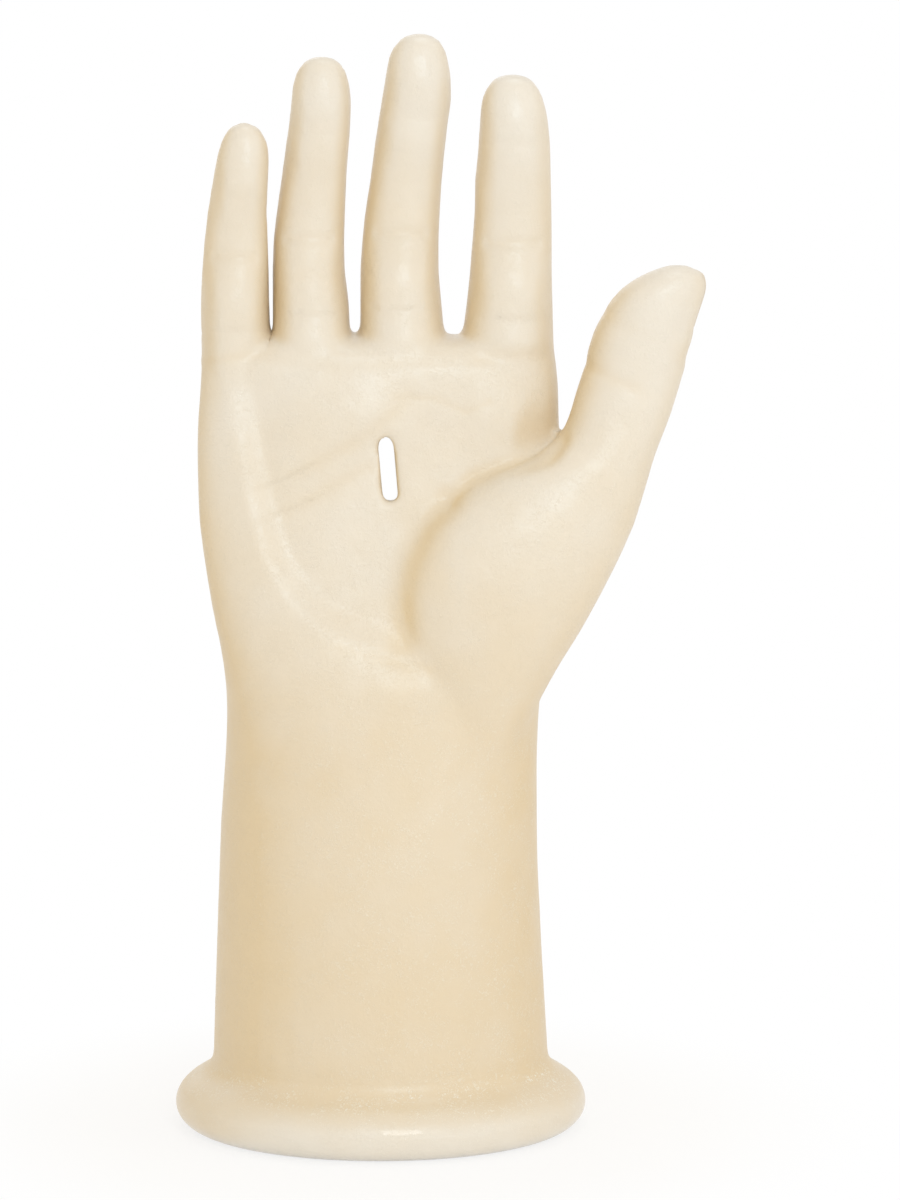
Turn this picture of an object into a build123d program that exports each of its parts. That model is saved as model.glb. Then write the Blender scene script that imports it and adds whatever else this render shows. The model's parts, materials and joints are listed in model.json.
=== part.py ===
from build123d import *

import os
from dataclasses import dataclass
from math import cos, copysign, pi, radians, sin, tan

# A passive prosthetic hand, right side, adult size.
#
# A moulded glove with a rolled cuff rim is drawn over a foam hand.  Inside the foam a cast frame
# carries five knuckle posts, and each finger is an armature of two links on friction hinges, so a
# finger stays where the other hand bends it.  The wrist plate closes the foam hand and holds the
# threaded stud that screws into a forearm.
#
# Frame: millimetres, +Z up along the stud towards the fingers, +X towards the thumb and -Y out of
# the palm.  The origin is on the stud's axis, in the face of the wrist plate that seats on the arm.

# ---- Driving dimensions ----------------------------------------------------------------------
CUFF_LENGTH = 104.0  # wrist seat down to the surface that the rim stands on
GLOVE_WALL = 1.8
CORE_GAP = 0.25  # foam to glove
SECTION_POINTS = 20  # points on each closed spline of the palm and cuff

RIM_RADIUS = 6.8  # the rolled rim's own section
RIM_OVERHANG = 3.0  # how far the roll's centre stands outside the cuff
RIM_SEAT = 6.0  # the roll's centre above the surface it stands on
RIM_FLARE = 14.0  # height of the cone that runs the cuff out into the roll
RIM_FLARE_SPREAD = 9.0  # the cone's foot stands out this much further than its top

SLOT_CENTRE = (2.0, 71.0)  # X and Z of the palm slot
SLOT_WIDTH = 6.5
SLOT_HEIGHT = 21.0
SLOT_CORNER = 1.5
SLOT_TILT = 5.0  # degrees, top towards the little finger
SLOT_WALL = 1.5
SLOT_GAP = 0.4  # slot wall to foam and frame

STUD_RADIUS = 6.0
STUD_LENGTH = 20.0
STUD_NECK_RADIUS = 7.0  # the plain neck in the wrist plate
STUD_HEAD_ACROSS = 18.0
STUD_HEAD_HEIGHT = 7.0
STUD_HEAD_SUNK = 3.0
STUD_CHAMFER = 0.8
THREAD_PITCH = 1.75
THREAD_DEPTH = 0.6
THREAD_RUNOUT = 3.0
THREAD_GROOVES = 9
FIT = 0.05  # radial clearance of a shaft in its hole
HOLE_GAP = 0.2  # radial clearance of a screw through the frame
SCREW_SOCKET_RATIO = 0.9  # a screw's hexagon socket to its shank

WRIST_PLATE_THICK = 6.0
WASHER_OUTER = 17.0
WASHER_THICK = 1.5
FLANGE_SIZE = (54.0, 34.0)
FLANGE_THICK = 4.0
FLANGE_CORNER = 6.0
FLANGE_HOLE = 12.0
FLANGE_SCREWS = (40.0, 24.0)  # hole-to-hole, along X and Y
FLANGE_SCREW_RADIUS = 2.0
FLANGE_SCREW_LENGTH = 8.5
PLATE_FRONT = 4.5  # Y of the frame plate's palm-side face
PLATE_THICK = 2.6
PLATE_TOP = 101.5
ARCH_WIDTH = 26.0
ARCH_TOP = 16.0
PLATE_WINDOWS = [(-13.0, 40.0, 9.0), (14.0, 40.0, 9.0)]  # X, Z and radius
GUSSET_SPACING = 29.0
GUSSET_REACH = 8.0
GUSSET_HEIGHT = 12.0

# Hinges: every one is the same clevis, tongue, headed pin and pair of friction washers.
TONGUE_WIDTH = 3.4
TONGUE_RADIUS = 3.2
CLEVIS_DEPTH = 10.5  # palm side to back, cut right through the ears
EAR_WIDTH = 1.8
EAR_RADIUS = 3.5
WASHER_SPACE = 0.5  # room between tongue and ear
HINGE_WASHER = 0.4
HINGE_WASHER_RADIUS = 3.0
PIN_RADIUS = 1.5
PIN_HEAD_RADIUS = 2.4
PIN_HEAD = 0.6
LINK_CLEAR = 1.0  # ear tip to the next link's shoulder
POCKET_GAP = 0.2  # foam to metal
FLEX_LIMIT = 60.0  # degrees of travel at a finger hinge
THUMB_LIMIT = 50.0
NOTCH_MARGIN = 4.0  # degrees the palm-side notch is wider than the travel
JOINT_GAP = 0.3  # each side of a hinge, glove and foam to the hinge's own plane
NOTCH_REACH = 0.8  # the notch's depth to the digit's width
BESIDE = 1.0  # what a digit's own pieces may stand out beside its knuckle's width

RELIEF_GAP = 0.7  # foam to a hinge's ears and pin heads
TIP_BLOCK = 3.0  # square part of the last link
TIP_BLOCK_CORNER = 2.2
TIP_COVER = 14.0  # end of the last link to the tip
ROD_RADIUS = 3.0
ROD_BOW = 0.6  # share of the finger's bow that its last link follows

POST_LENGTH = 27.0
FOOT_TOP = 12.5  # foot starts this far below the hinge
POST_SCREWS = (18.5, 24.0)  # below the hinge
POST_SCREW_RADIUS = 1.5
POST_SCREW_LENGTH = 7.0
SCREW_HEAD_RATIO = 1.75
SCREW_HEAD_HEIGHT = 1.6
THUMB_BAR = 12.0
THUMB_FOOT = (34.0, 47.0)  # X and Z
THUMB_FOOT_SIZE = (10.0, 18.0)
THUMB_FOOT_THICK = 15.0
THUMB_SCREWS = (-5.0, 5.0)  # up and down from the foot's centre
STRUT_RADIUS = 4.0

HINGE_WIDTH = TONGUE_WIDTH + 2 * WASHER_SPACE + 2 * EAR_WIDTH
SHOULDER = EAR_RADIUS + LINK_CLEAR
PLATE_BACK = PLATE_FRONT + PLATE_THICK
CORE_INSET = GLOVE_WALL + CORE_GAP
CORE_FLOOR = WRIST_PLATE_THICK + FLANGE_THICK + CORE_GAP
FAR = 90.0  # reach of the cutters past the part they cut
TOP_DOWN = (Align.CENTER, Align.CENTER, Align.MAX)
BOTTOM_UP = (Align.CENTER, Align.CENTER, Align.MIN)


@dataclass(frozen=True)
class Digit:
    """A finger or thumb, given from its knuckle hinge: widths are at the hinges and the tip."""

    name: str
    root: tuple  # knuckle hinge centre
    lean: float  # degrees towards the thumb
    length: float  # knuckle hinge to the tip
    to_middle: float  # knuckle hinge to middle hinge; 0 if there is none
    root_width: float
    middle_width: float
    tip_width: float
    bow: float  # how far the tip comes forward of the hinge
    turn: float = 0.0  # degrees the hinge axis is turned about the digit
    limit: float = FLEX_LIMIT
    clear: float = 0.5  # what is cut away beside the digit at its knuckle

    @property
    def plane(self):
        """Local X is the hinge axis, local Y the back of the digit and local Z runs to the tip."""
        a = radians(self.lean)
        t = radians(self.turn)
        hinge_axis = (cos(t) * cos(a), sin(t), -cos(t) * sin(a))
        return Plane(self.root, x_dir=hinge_axis, z_dir=(sin(a), 0, cos(a)))

    @property
    def middle(self):
        return self.plane.offset(self.to_middle)


FINGERS = [
    Digit("index", (33.6, -1.0, 113.5), 0.7, 59.4, 17.5, 21.6, 20.4, 16.8, 6.0),
    Digit("middle", (5.6, 0.5, 115.5), 3.9, 67.8, 18.0, 20.4, 19.6, 16.8, 7.0),
    Digit("ring", (-18.2, 0.0, 114.5), 3.4, 63.0, 17.5, 18.8, 18.2, 15.2, 7.0),
    Digit("little", (-37.0, -4.0, 110.5), 2.6, 50.2, 17.0, 17.4, 16.0, 12.6, 6.0),
]
THUMB = Digit("thumb", (64.0, -9.0, 92.5), 18.0, 35.0, 0.0, 25.0, 24.0, 17.0, 2.0, -57.0, THUMB_LIMIT, 3.0)
DIGITS = [*FINGERS, THUMB]
DEPTH_RATIO = 0.88  # a finger's depth to its width
DOME_RATIO = 0.55  # a fingertip's height to its width
BOW_POWER = 1.6  # how late the bow sets in, from the middle hinge to the tip
STUB = 30.0  # how far a finger's form runs down into the palm
FORM_SHARES = (0.0, 0.35, 0.7, 1.0)  # where a finger's sections stand, middle hinge to dome

# Palm and cuff outline: height, little-finger side, thumb side, palm face, back, squareness.
PALM_STATIONS = [
    (-CUFF_LENGTH, -44.5, 44.5, -36.0, 36.0, 2.0),
    (-82.0, -44.1, 43.8, -35.4, 35.4, 2.0),
    (-60.0, -43.2, 42.6, -34.4, 34.4, 2.0),
    (-38.0, -42.5, 41.6, -33.2, 33.2, 2.0),
    (-18.0, -41.4, 41.2, -31.4, 31.2, 2.1),
    (0.0, -40.2, 41.5, -29.4, 29.0, 2.2),
    (16.0, -40.8, 42.6, -26.6, 25.6, 2.3),
    (34.0, -44.2, 44.4, -22.2, 21.4, 2.5),
    (52.0, -46.8, 46.0, -18.3, 18.0, 2.8),
    (70.0, -47.7, 47.0, -15.5, 16.0, 3.0),
    (88.0, -47.4, 46.8, -14.5, 15.5, 3.0),
    (104.0, -46.6, 45.6, -13.0, 14.0, 3.0),
]
THUMB_TIP_SWELL = 2.5  # the thumb is this much wider below its tip

# Thumb root, up the outside of the palm: centre, lean, width, depth.
THUMB_STATIONS = [
    ((18.0, -6.0, -8.0), 26.0, 20.0, 24.0),
    ((26.0, -8.5, 12.0), 26.0, 29.0, 29.0),
    ((35.0, -10.5, 32.0), 25.0, 35.0, 29.5),
    ((46.5, -11.5, 54.0), 25.0, 33.0, 27.0),
    ((57.0, -10.0, 75.0), 20.0, 27.5, 23.0),
    (THUMB.root, THUMB.lean, THUMB.root_width, 21.5),
    ((69.2, -9.8, 106.5), 22.0, THUMB.middle_width, 20.5),
    ((74.5, -11.0, 116.0), 38.0, THUMB.tip_width + THUMB_TIP_SWELL, 16.5),
]
THUMB_DOME = 8.5

# Outline of the frame's plate, X and Z, from the wrist flange round to the knuckles and back.
PLATE_OUTLINE = [
    (-20.0, WRIST_PLATE_THICK + FLANGE_THICK / 2),
    (20.0, WRIST_PLATE_THICK + FLANGE_THICK / 2),
    (24.0, 28.0),
    (41.0, 36.0),
    (41.0, 58.0),
    (38.0, 68.0),
    (39.0, PLATE_TOP),
    (-41.2, PLATE_TOP),
    (-41.2, 82.0),
    (-26.0, 58.0),
    (-22.0, 26.0),
]

os.makedirs("parts", exist_ok=True)


def export(part, name):
    """Labels a finished piece and writes it as its own STEP file."""
    part.label = name
    export_step(part, f"parts/{name}.step")


# ---- Outer forms, which the glove and the foam both follow -------------------------------------
def closed_section(plane, centre, half_width, half_depth, squareness):
    """A rounded closed outline: an ellipse at squareness 2, squarer as it grows."""
    power = 2 / squareness
    turns = [2 * pi * i / SECTION_POINTS for i in range(SECTION_POINTS)]
    points = [
        (
            centre[0] + half_width * copysign(abs(cos(t)) ** power, cos(t)),
            centre[1] + half_depth * copysign(abs(sin(t)) ** power, sin(t)),
        )
        for t in turns
    ]
    with BuildSketch(plane) as outline:
        with BuildLine():
            Spline(points, periodic=True)
        make_face()
    return outline.sketch


def palm_form(inset):
    """Palm, wrist and cuff in one loft, shrunk by inset and run on below the cuff."""
    top = PALM_STATIONS[-1][0]
    sections = []
    for height, left, right, front, back, squareness in PALM_STATIONS:
        sections.append(
            closed_section(
                Plane.XY.offset(height - inset if height == top else height),
                ((left + right) / 2, (front + back) / 2),
                (right - left) / 2 - inset,
                (back - front) / 2 - inset,
                squareness,
            )
        )
    with BuildPart() as form:
        loft(sections)
        extrude(form.faces().sort_by(Axis.Z)[0], amount=2 * RIM_RADIUS)
    return form.part


def dome(plane, half_width, half_depth, height):
    """The rounded end of a digit, half an ellipsoid standing on its last section."""
    half = Solid.make_sphere(1, angle1=0)
    return plane.location * scale(half, by=(half_width, half_depth, height), mode=Mode.PRIVATE)


def digit_form(digit, inset):
    """A finger from inside the palm to its tip, shrunk by inset."""
    dome_height = DOME_RATIO * digit.tip_width
    last = digit.length - dome_height
    stations = [(-STUB, digit.root_width, 0.0), (0.0, digit.root_width, 0.0)]
    for share in FORM_SHARES:
        along = digit.to_middle + share * (last - digit.to_middle)
        width = digit.middle_width + share * (digit.tip_width - digit.middle_width)
        stations.append((along, width, digit.bow * share**BOW_POWER))
    sections = []
    for along, width, forward in stations:
        with BuildSketch(digit.plane.offset(along)) as section:
            with Locations((0, -forward)):
                Ellipse(width / 2 - inset, DEPTH_RATIO * width / 2 - inset)
        sections.append(section.sketch)
    end = Plane(
        digit.plane.from_local_coords((0, -digit.bow, last)),
        x_dir=digit.plane.x_dir,
        z_dir=digit.plane.z_dir,
    )
    half_width = digit.tip_width / 2 - inset
    half_depth = DEPTH_RATIO * digit.tip_width / 2 - inset
    with BuildPart() as form:
        loft(sections)
        add(dome(end, half_width, half_depth, dome_height - inset))
    return form.part


def thumb_form(inset):
    """The thumb with its root, shrunk by inset."""
    sections = []
    for centre, lean, width, depth in THUMB_STATIONS:
        a = radians(lean)
        plane = Plane(centre, x_dir=(cos(a), 0, -sin(a)), z_dir=(sin(a), 0, cos(a)))
        with BuildSketch(plane) as section:
            Ellipse(width / 2 - inset, depth / 2 - inset)
        sections.append(section.sketch)
    with BuildPart() as form:
        loft(sections)
        add(dome(plane, width / 2 - inset, depth / 2 - inset, THUMB_DOME - inset))
    return form.part


def outer_form(digit, inset):
    """Any digit's form, shrunk by inset."""
    return thumb_form(inset) if digit is THUMB else digit_form(digit, inset)


def rim_form():
    """The rolled rim round the foot of the cuff."""
    _, left, right, front, back, _ = PALM_STATIONS[0]
    roll_height = RIM_SEAT - CUFF_LENGTH
    rings = []
    for height, out in (
        (roll_height, RIM_OVERHANG),
        (roll_height, 2 * RIM_OVERHANG),
        (roll_height + RIM_FLARE, 2 * RIM_OVERHANG - RIM_FLARE_SPREAD),
    ):
        with BuildSketch(Plane.XY.offset(height)) as ring:
            Ellipse((back - front) / 2 + out, (right - left) / 2 + out, rotation=90)
        rings.append(ring.sketch)
    roll, cone_foot, cone_top = rings
    path = roll.wire()
    with BuildPart() as rim:
        with BuildSketch(Plane(path @ 0, x_dir=(0, 0, 1), z_dir=path % 0)):
            Circle(RIM_RADIUS)
        sweep(path=path)
        loft([cone_foot, cone_top])
    return rim.part


def slot_form(grow):
    """The slot right through the palm, grown by its wall."""
    x, z = SLOT_CENTRE
    with BuildPart() as slot:
        with BuildSketch(Plane((x, 0, z), x_dir=(1, 0, 0), z_dir=(0, -1, 0))):
            RectangleRounded(
                SLOT_WIDTH + 2 * grow,
                SLOT_HEIGHT + 2 * grow,
                SLOT_CORNER + grow,
                rotation=SLOT_TILT,
            )
        extrude(amount=FAR, both=True)
    return slot.part


# ---- Hinges ------------------------------------------------------------------------------------
def side(plane):
    """The plane square to a hinge axis: its X is the digit's back, its Y runs to the tip."""
    return Plane(plane.origin, x_dir=plane.y_dir, z_dir=plane.x_dir)


def beyond(digit, plane, border, margin=0.0):
    """Everything past one border of a hinge: +1 the moving side's own, -1 the fixed side's.

    The two borders lie together across the back and part on the palm side, by half of the
    travel each, so that they close on each other as the digit bends.
    """
    reach = NOTCH_REACH * digit.root_width
    edge = border * JOINT_GAP
    fall = border * (JOINT_GAP + reach * tan(radians((digit.limit + NOTCH_MARGIN) / 2)))
    with BuildPart() as region:
        with BuildSketch(side(plane)):
            with BuildLine():
                corners = [(0, edge), (2 * reach, edge), (2 * reach, FAR), (-reach, FAR), (-reach, fall)]
                Polyline(*corners, close=True)
            make_face()
        extrude(amount=digit.root_width / 2 + digit.clear + margin, both=True)
    return region.part


def across(plane, radius, half_length):
    """A cylinder along a hinge axis."""
    with BuildPart() as rod:
        with BuildSketch(side(plane)):
            Circle(radius)
        extrude(amount=half_length, both=True)
    return rod.part


def eye_bar(plane, half_width, radius, reach):
    """A bar with a round eye at the hinge, running up the digit, or down it if reach is negative."""
    with BuildPart() as bar:
        with BuildSketch(side(plane)):
            Circle(radius)
            with Locations((0, reach / 2)):
                Rectangle(2 * radius, abs(reach))
        extrude(amount=half_width, both=True)
    return bar.part


def clevis_slot(plane):
    """The room that a tongue and its two washers take between the ears."""
    low = -(TONGUE_RADIUS + WASHER_SPACE)
    high = EAR_RADIUS + LINK_CLEAR
    with BuildPart() as slot:
        with BuildSketch(side(plane)):
            with Locations((0, (low + high) / 2)):
                Rectangle(CLEVIS_DEPTH, high - low)
        extrude(amount=TONGUE_WIDTH / 2 + WASHER_SPACE, both=True)
        add(across(plane, PIN_RADIUS + FIT, HINGE_WIDTH))
    return slot.part


def tongue(plane):
    """A link's eye, from the hinge to the shoulder that clears the ears."""
    with BuildPart() as eye:
        add(eye_bar(plane, TONGUE_WIDTH / 2, TONGUE_RADIUS, SHOULDER + JOINT_GAP))
        add(across(plane, PIN_RADIUS + FIT, HINGE_WIDTH), mode=Mode.SUBTRACT)
    return eye.part


def pin(plane):
    """A hinge pin with a head formed on each end."""
    with BuildPart() as shaft:
        add(across(plane, PIN_RADIUS, HINGE_WIDTH / 2 + PIN_HEAD))
        add(across(plane, PIN_HEAD_RADIUS, HINGE_WIDTH / 2 + PIN_HEAD))
        add(across(plane, PIN_HEAD_RADIUS + FIT, HINGE_WIDTH / 2), mode=Mode.SUBTRACT)
        add(across(plane, PIN_RADIUS, HINGE_WIDTH / 2 + PIN_HEAD))
    return shaft.part


def washers(plane):
    """The pair of friction washers, one each side of the tongue."""
    with BuildPart() as pair:
        for direction in (-1, 1):
            with BuildSketch(side(plane).offset(direction * (TONGUE_WIDTH + WASHER_SPACE) / 2)):
                Circle(HINGE_WASHER_RADIUS)
                Circle(PIN_RADIUS + FIT, mode=Mode.SUBTRACT)
            extrude(amount=HINGE_WASHER / 2, both=True)
    return pair.part


def hinge_relief(plane):
    """The hollow that the foam leaves round a hinge and its tongue."""
    with BuildPart() as hollow:
        add(across(plane, EAR_RADIUS + RELIEF_GAP, HINGE_WIDTH / 2 + PIN_HEAD + RELIEF_GAP))
        add(eye_bar(plane, TONGUE_WIDTH / 2 + POCKET_GAP, TONGUE_RADIUS + POCKET_GAP, SHOULDER))
    return hollow.part


# ---- Links and posts ---------------------------------------------------------------------------
def base_link_form(digit, grow):
    """The bar of a finger's first link, shoulder to middle hinge, grown for its pocket."""
    reach = digit.to_middle - SHOULDER + grow
    return eye_bar(digit.middle, HINGE_WIDTH / 2 + grow, EAR_RADIUS + grow, -reach)


def tip_link_form(digit, grow):
    """The last link past its shoulder: a block, then a tapered rod that follows the bow."""
    start = digit.middle
    end = digit.length - digit.to_middle - TIP_COVER
    with BuildPart() as link:
        with BuildSketch(start.offset(SHOULDER - grow)):
            RectangleRounded(HINGE_WIDTH + 2 * grow, 2 * EAR_RADIUS + 2 * grow, TIP_BLOCK_CORNER + grow)
        extrude(amount=TIP_BLOCK + 2 * grow)
        with BuildSketch(start.offset(SHOULDER + TIP_BLOCK / 2)) as thick:
            Circle(ROD_RADIUS + grow)
        with BuildSketch(start.offset(end + grow)) as thin:
            with Locations((0, -ROD_BOW * digit.bow)):
                Circle(ROD_RADIUS / 2 + grow)
        loft([thick.sketch, thin.sketch])
    return link.part


def finger_post_form(digit, grow):
    """A finger's knuckle post and its foot on the frame plate, grown for its pocket."""
    foot_back = PLATE_FRONT - digit.root[1]
    with BuildPart() as post:
        add(eye_bar(digit.plane, HINGE_WIDTH / 2 + grow, EAR_RADIUS + grow, -(POST_LENGTH + grow)))
        with BuildSketch(side(digit.plane)):
            with Locations((foot_back / 2, -(POST_LENGTH + FOOT_TOP) / 2)):
                Rectangle(foot_back, POST_LENGTH - FOOT_TOP + 2 * grow)
        extrude(amount=HINGE_WIDTH / 2 + grow, both=True)
    return post.part


def thumb_post_form(grow):
    """The thumb's post: a short bar, a strut through its root and a foot, grown for its pocket."""
    bar_end = Vector(*THUMB.plane.from_local_coords((0, 0, -THUMB_BAR)))
    foot = Vector(THUMB_FOOT[0], PLATE_FRONT - THUMB_FOOT_THICK + STRUT_RADIUS, THUMB_FOOT[1])
    with BuildPart() as post:
        add(eye_bar(THUMB.plane, HINGE_WIDTH / 2 + grow, EAR_RADIUS + grow, -(THUMB_BAR + EAR_RADIUS)))
        with BuildSketch(Plane(foot, z_dir=bar_end - foot)):
            Circle(STRUT_RADIUS + grow)
        extrude(amount=(bar_end - foot).length)
        with BuildSketch(Plane((foot.X, PLATE_FRONT + grow, foot.Z), x_dir=(1, 0, 0), z_dir=(0, -1, 0))):
            Rectangle(THUMB_FOOT_SIZE[0] + 2 * grow, THUMB_FOOT_SIZE[1] + 2 * grow)
        extrude(amount=THUMB_FOOT_THICK + 2 * grow)
    return post.part


def post_form(digit, grow):
    """Any digit's post, grown for its pocket."""
    return thumb_post_form(grow) if digit is THUMB else finger_post_form(digit, grow)


def foot_planes(digit):
    """Where a post's two screws enter the back of the frame plate, looking out of the hand."""
    if digit is THUMB:
        spots = [(THUMB_FOOT[0], THUMB_FOOT[1] + rise) for rise in THUMB_SCREWS]
    else:
        down = [digit.plane.from_local_coords((0, 0, -below)) for below in POST_SCREWS]
        spots = [(spot.X, spot.Z) for spot in down]
    return [Plane((x, PLATE_BACK, z), x_dir=(1, 0, 0), z_dir=(0, 1, 0)) for x, z in spots]


def screw(plane, radius, length):
    """A cheese-head screw with its head's seat on the plane."""
    with BuildPart() as fastener:
        with BuildSketch(plane):
            Circle(radius)
        extrude(amount=-length)
        with BuildSketch(plane):
            Circle(SCREW_HEAD_RATIO * radius)
        extrude(amount=SCREW_HEAD_HEIGHT)
        with BuildSketch(plane.offset(SCREW_HEAD_HEIGHT)):
            RegularPolygon(SCREW_SOCKET_RATIO * radius, 6)
        extrude(amount=-SCREW_HEAD_HEIGHT / 2, mode=Mode.SUBTRACT)
    return fastener.part


def drill(plane, radius, up, down):
    """A round hole either way from a plane."""
    with BuildPart() as hole:
        with BuildSketch(plane.offset(-down)):
            Circle(radius)
        extrude(amount=up + down)
    return hole.part


# ---- Glove of palm and cuff --------------------------------------------------------------------
def hand_form(inset, cut=True):
    """Palm, cuff and digits as one solid, shrunk by inset and cut off at the knuckles or whole."""
    with BuildPart() as form:
        add(thumb_form(inset))
        if cut:
            add(beyond(THUMB, THUMB.plane, -1), mode=Mode.SUBTRACT)
        add(palm_form(inset))
        for digit in FINGERS:
            add(digit_form(digit, inset))
        for digit in FINGERS if cut else []:
            add(beyond(digit, digit.plane, -1), mode=Mode.SUBTRACT)
    return form.part


hand_outside = hand_form(0.0)

with BuildPart() as slot_tunnel:
    add(hand_outside)
    add(slot_form(SLOT_WALL), mode=Mode.INTERSECT)

with BuildPart() as glove_palm:
    add(hand_outside)
    add(rim_form())
    with Locations((0, 0, -CUFF_LENGTH)):
        Box(2 * FAR, 2 * FAR, FAR, align=TOP_DOWN, mode=Mode.SUBTRACT)
    add(hand_form(GLOVE_WALL, cut=False), mode=Mode.SUBTRACT)
    add(slot_tunnel.part)
    add(slot_form(0.0), mode=Mode.SUBTRACT)
export(glove_palm.part, "glove_palm")

# ---- Wrist: plate, stud, washer and the frame that stands on them ------------------------------
flange_spots = GridLocations(*FLANGE_SCREWS, 2, 2)
flange_top = WRIST_PLATE_THICK + FLANGE_THICK

with BuildPart() as wrist_plate:
    add(palm_form(CORE_INSET))
    Box(4 * FAR, 4 * FAR, 2 * WRIST_PLATE_THICK, mode=Mode.INTERSECT)
    Box(4 * FAR, 4 * FAR, FAR, align=TOP_DOWN, mode=Mode.SUBTRACT)
    Cylinder(WASHER_OUTER + FIT, 2 * WASHER_THICK, mode=Mode.SUBTRACT)
    Cylinder(STUD_NECK_RADIUS + FIT, 2 * WRIST_PLATE_THICK, mode=Mode.SUBTRACT)
    with BuildSketch(Plane.XY.offset(STUD_HEAD_SUNK)):
        RegularPolygon(STUD_HEAD_ACROSS / 2 + FIT, 6, major_radius=False)
    extrude(amount=WRIST_PLATE_THICK, mode=Mode.SUBTRACT)
    with BuildSketch(Plane.XY.offset(flange_top)):
        with flange_spots:
            Circle(FLANGE_SCREW_RADIUS + FIT)
    extrude(amount=-(FLANGE_SCREW_LENGTH + FIT), mode=Mode.SUBTRACT)
export(wrist_plate.part, "wrist_plate")

with BuildPart() as wrist_washer:
    Cylinder(WASHER_OUTER, WASHER_THICK, align=BOTTOM_UP)
    Cylinder(STUD_NECK_RADIUS + 2 * FIT, 2 * WASHER_THICK, mode=Mode.SUBTRACT)
export(wrist_washer.part, "wrist_washer")

with BuildPart() as wrist_stud:
    with Locations((0, 0, -STUD_LENGTH)):
        Cylinder(STUD_RADIUS, STUD_LENGTH, align=BOTTOM_UP)
    Cylinder(STUD_NECK_RADIUS, STUD_HEAD_SUNK, align=BOTTOM_UP)
    chamfer(wrist_stud.edges().sort_by(Axis.Z)[0], STUD_CHAMFER)
    for groove in range(THREAD_GROOVES):
        with BuildSketch(Plane.XY.offset(-THREAD_RUNOUT - groove * THREAD_PITCH)):
            Circle(STUD_RADIUS + FIT)
            Circle(STUD_RADIUS - THREAD_DEPTH, mode=Mode.SUBTRACT)
        extrude(amount=-THREAD_PITCH / 2, mode=Mode.SUBTRACT)
    with BuildSketch(Plane.XY.offset(STUD_HEAD_SUNK)):
        RegularPolygon(STUD_HEAD_ACROSS / 2, 6, major_radius=False)
    extrude(amount=STUD_HEAD_HEIGHT)
export(wrist_stud.part, "wrist_stud")

with BuildPart() as palm_frame:
    with BuildSketch(Plane.XY.offset(WRIST_PLATE_THICK)):
        RectangleRounded(*FLANGE_SIZE, FLANGE_CORNER)
        Circle(FLANGE_HOLE, mode=Mode.SUBTRACT)
        with flange_spots:
            Circle(FLANGE_SCREW_RADIUS + HOLE_GAP, mode=Mode.SUBTRACT)
    extrude(amount=FLANGE_THICK)
    with BuildSketch(Plane((0, PLATE_BACK, 0), x_dir=(1, 0, 0), z_dir=(0, -1, 0))):
        with BuildLine():
            Polyline(*PLATE_OUTLINE, close=True)
        make_face()
        with Locations((0, ARCH_TOP / 2)):
            Rectangle(ARCH_WIDTH, ARCH_TOP, mode=Mode.SUBTRACT)
        for x, z, radius in PLATE_WINDOWS:
            with Locations((x, z)):
                Circle(radius, mode=Mode.SUBTRACT)
    extrude(amount=PLATE_THICK)
    for x in (-GUSSET_SPACING / 2, GUSSET_SPACING / 2):
        with BuildSketch(Plane((x, PLATE_BACK, flange_top), x_dir=(0, 1, 0), z_dir=(1, 0, 0))):
            with BuildLine():
                Polyline((-FIT, -FIT), (GUSSET_REACH, -FIT), (-FIT, GUSSET_HEIGHT), close=True)
            make_face()
        extrude(amount=PLATE_THICK / 2, both=True)
    add(slot_form(SLOT_WALL + SLOT_GAP), mode=Mode.SUBTRACT)
    for digit in DIGITS:
        for plane in foot_planes(digit):
            add(drill(plane, POST_SCREW_RADIUS + HOLE_GAP, PLATE_THICK, 2 * PLATE_THICK), mode=Mode.SUBTRACT)
export(palm_frame.part, "palm_frame")

with BuildPart() as flange_screws:
    for spot in flange_spots:
        spot_plane = Plane(spot).offset(flange_top)
        add(screw(spot_plane, FLANGE_SCREW_RADIUS, FLANGE_SCREW_LENGTH))
export(flange_screws.part, "flange_screws")

with BuildPart() as post_screws:
    for digit in DIGITS:
        for plane in foot_planes(digit):
            add(screw(plane, POST_SCREW_RADIUS, POST_SCREW_LENGTH))
export(post_screws.part, "post_screws")

# ---- Knuckles ----------------------------------------------------------------------------------
for digit in DIGITS:
    with BuildPart() as post:
        add(post_form(digit, 0.0))
        add(clevis_slot(digit.plane), mode=Mode.SUBTRACT)
        for plane in foot_planes(digit):
            add(drill(plane, POST_SCREW_RADIUS + FIT, 0.0, POST_SCREW_LENGTH + FIT), mode=Mode.SUBTRACT)
    export(post.part, f"{digit.name}_post")

with BuildPart() as knuckle_pins:
    for digit in DIGITS:
        add(pin(digit.plane))
export(knuckle_pins.part, "knuckle_pins")

with BuildPart() as knuckle_washers:
    for digit in DIGITS:
        add(washers(digit.plane))
export(knuckle_washers.part, "knuckle_washers")

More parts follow.
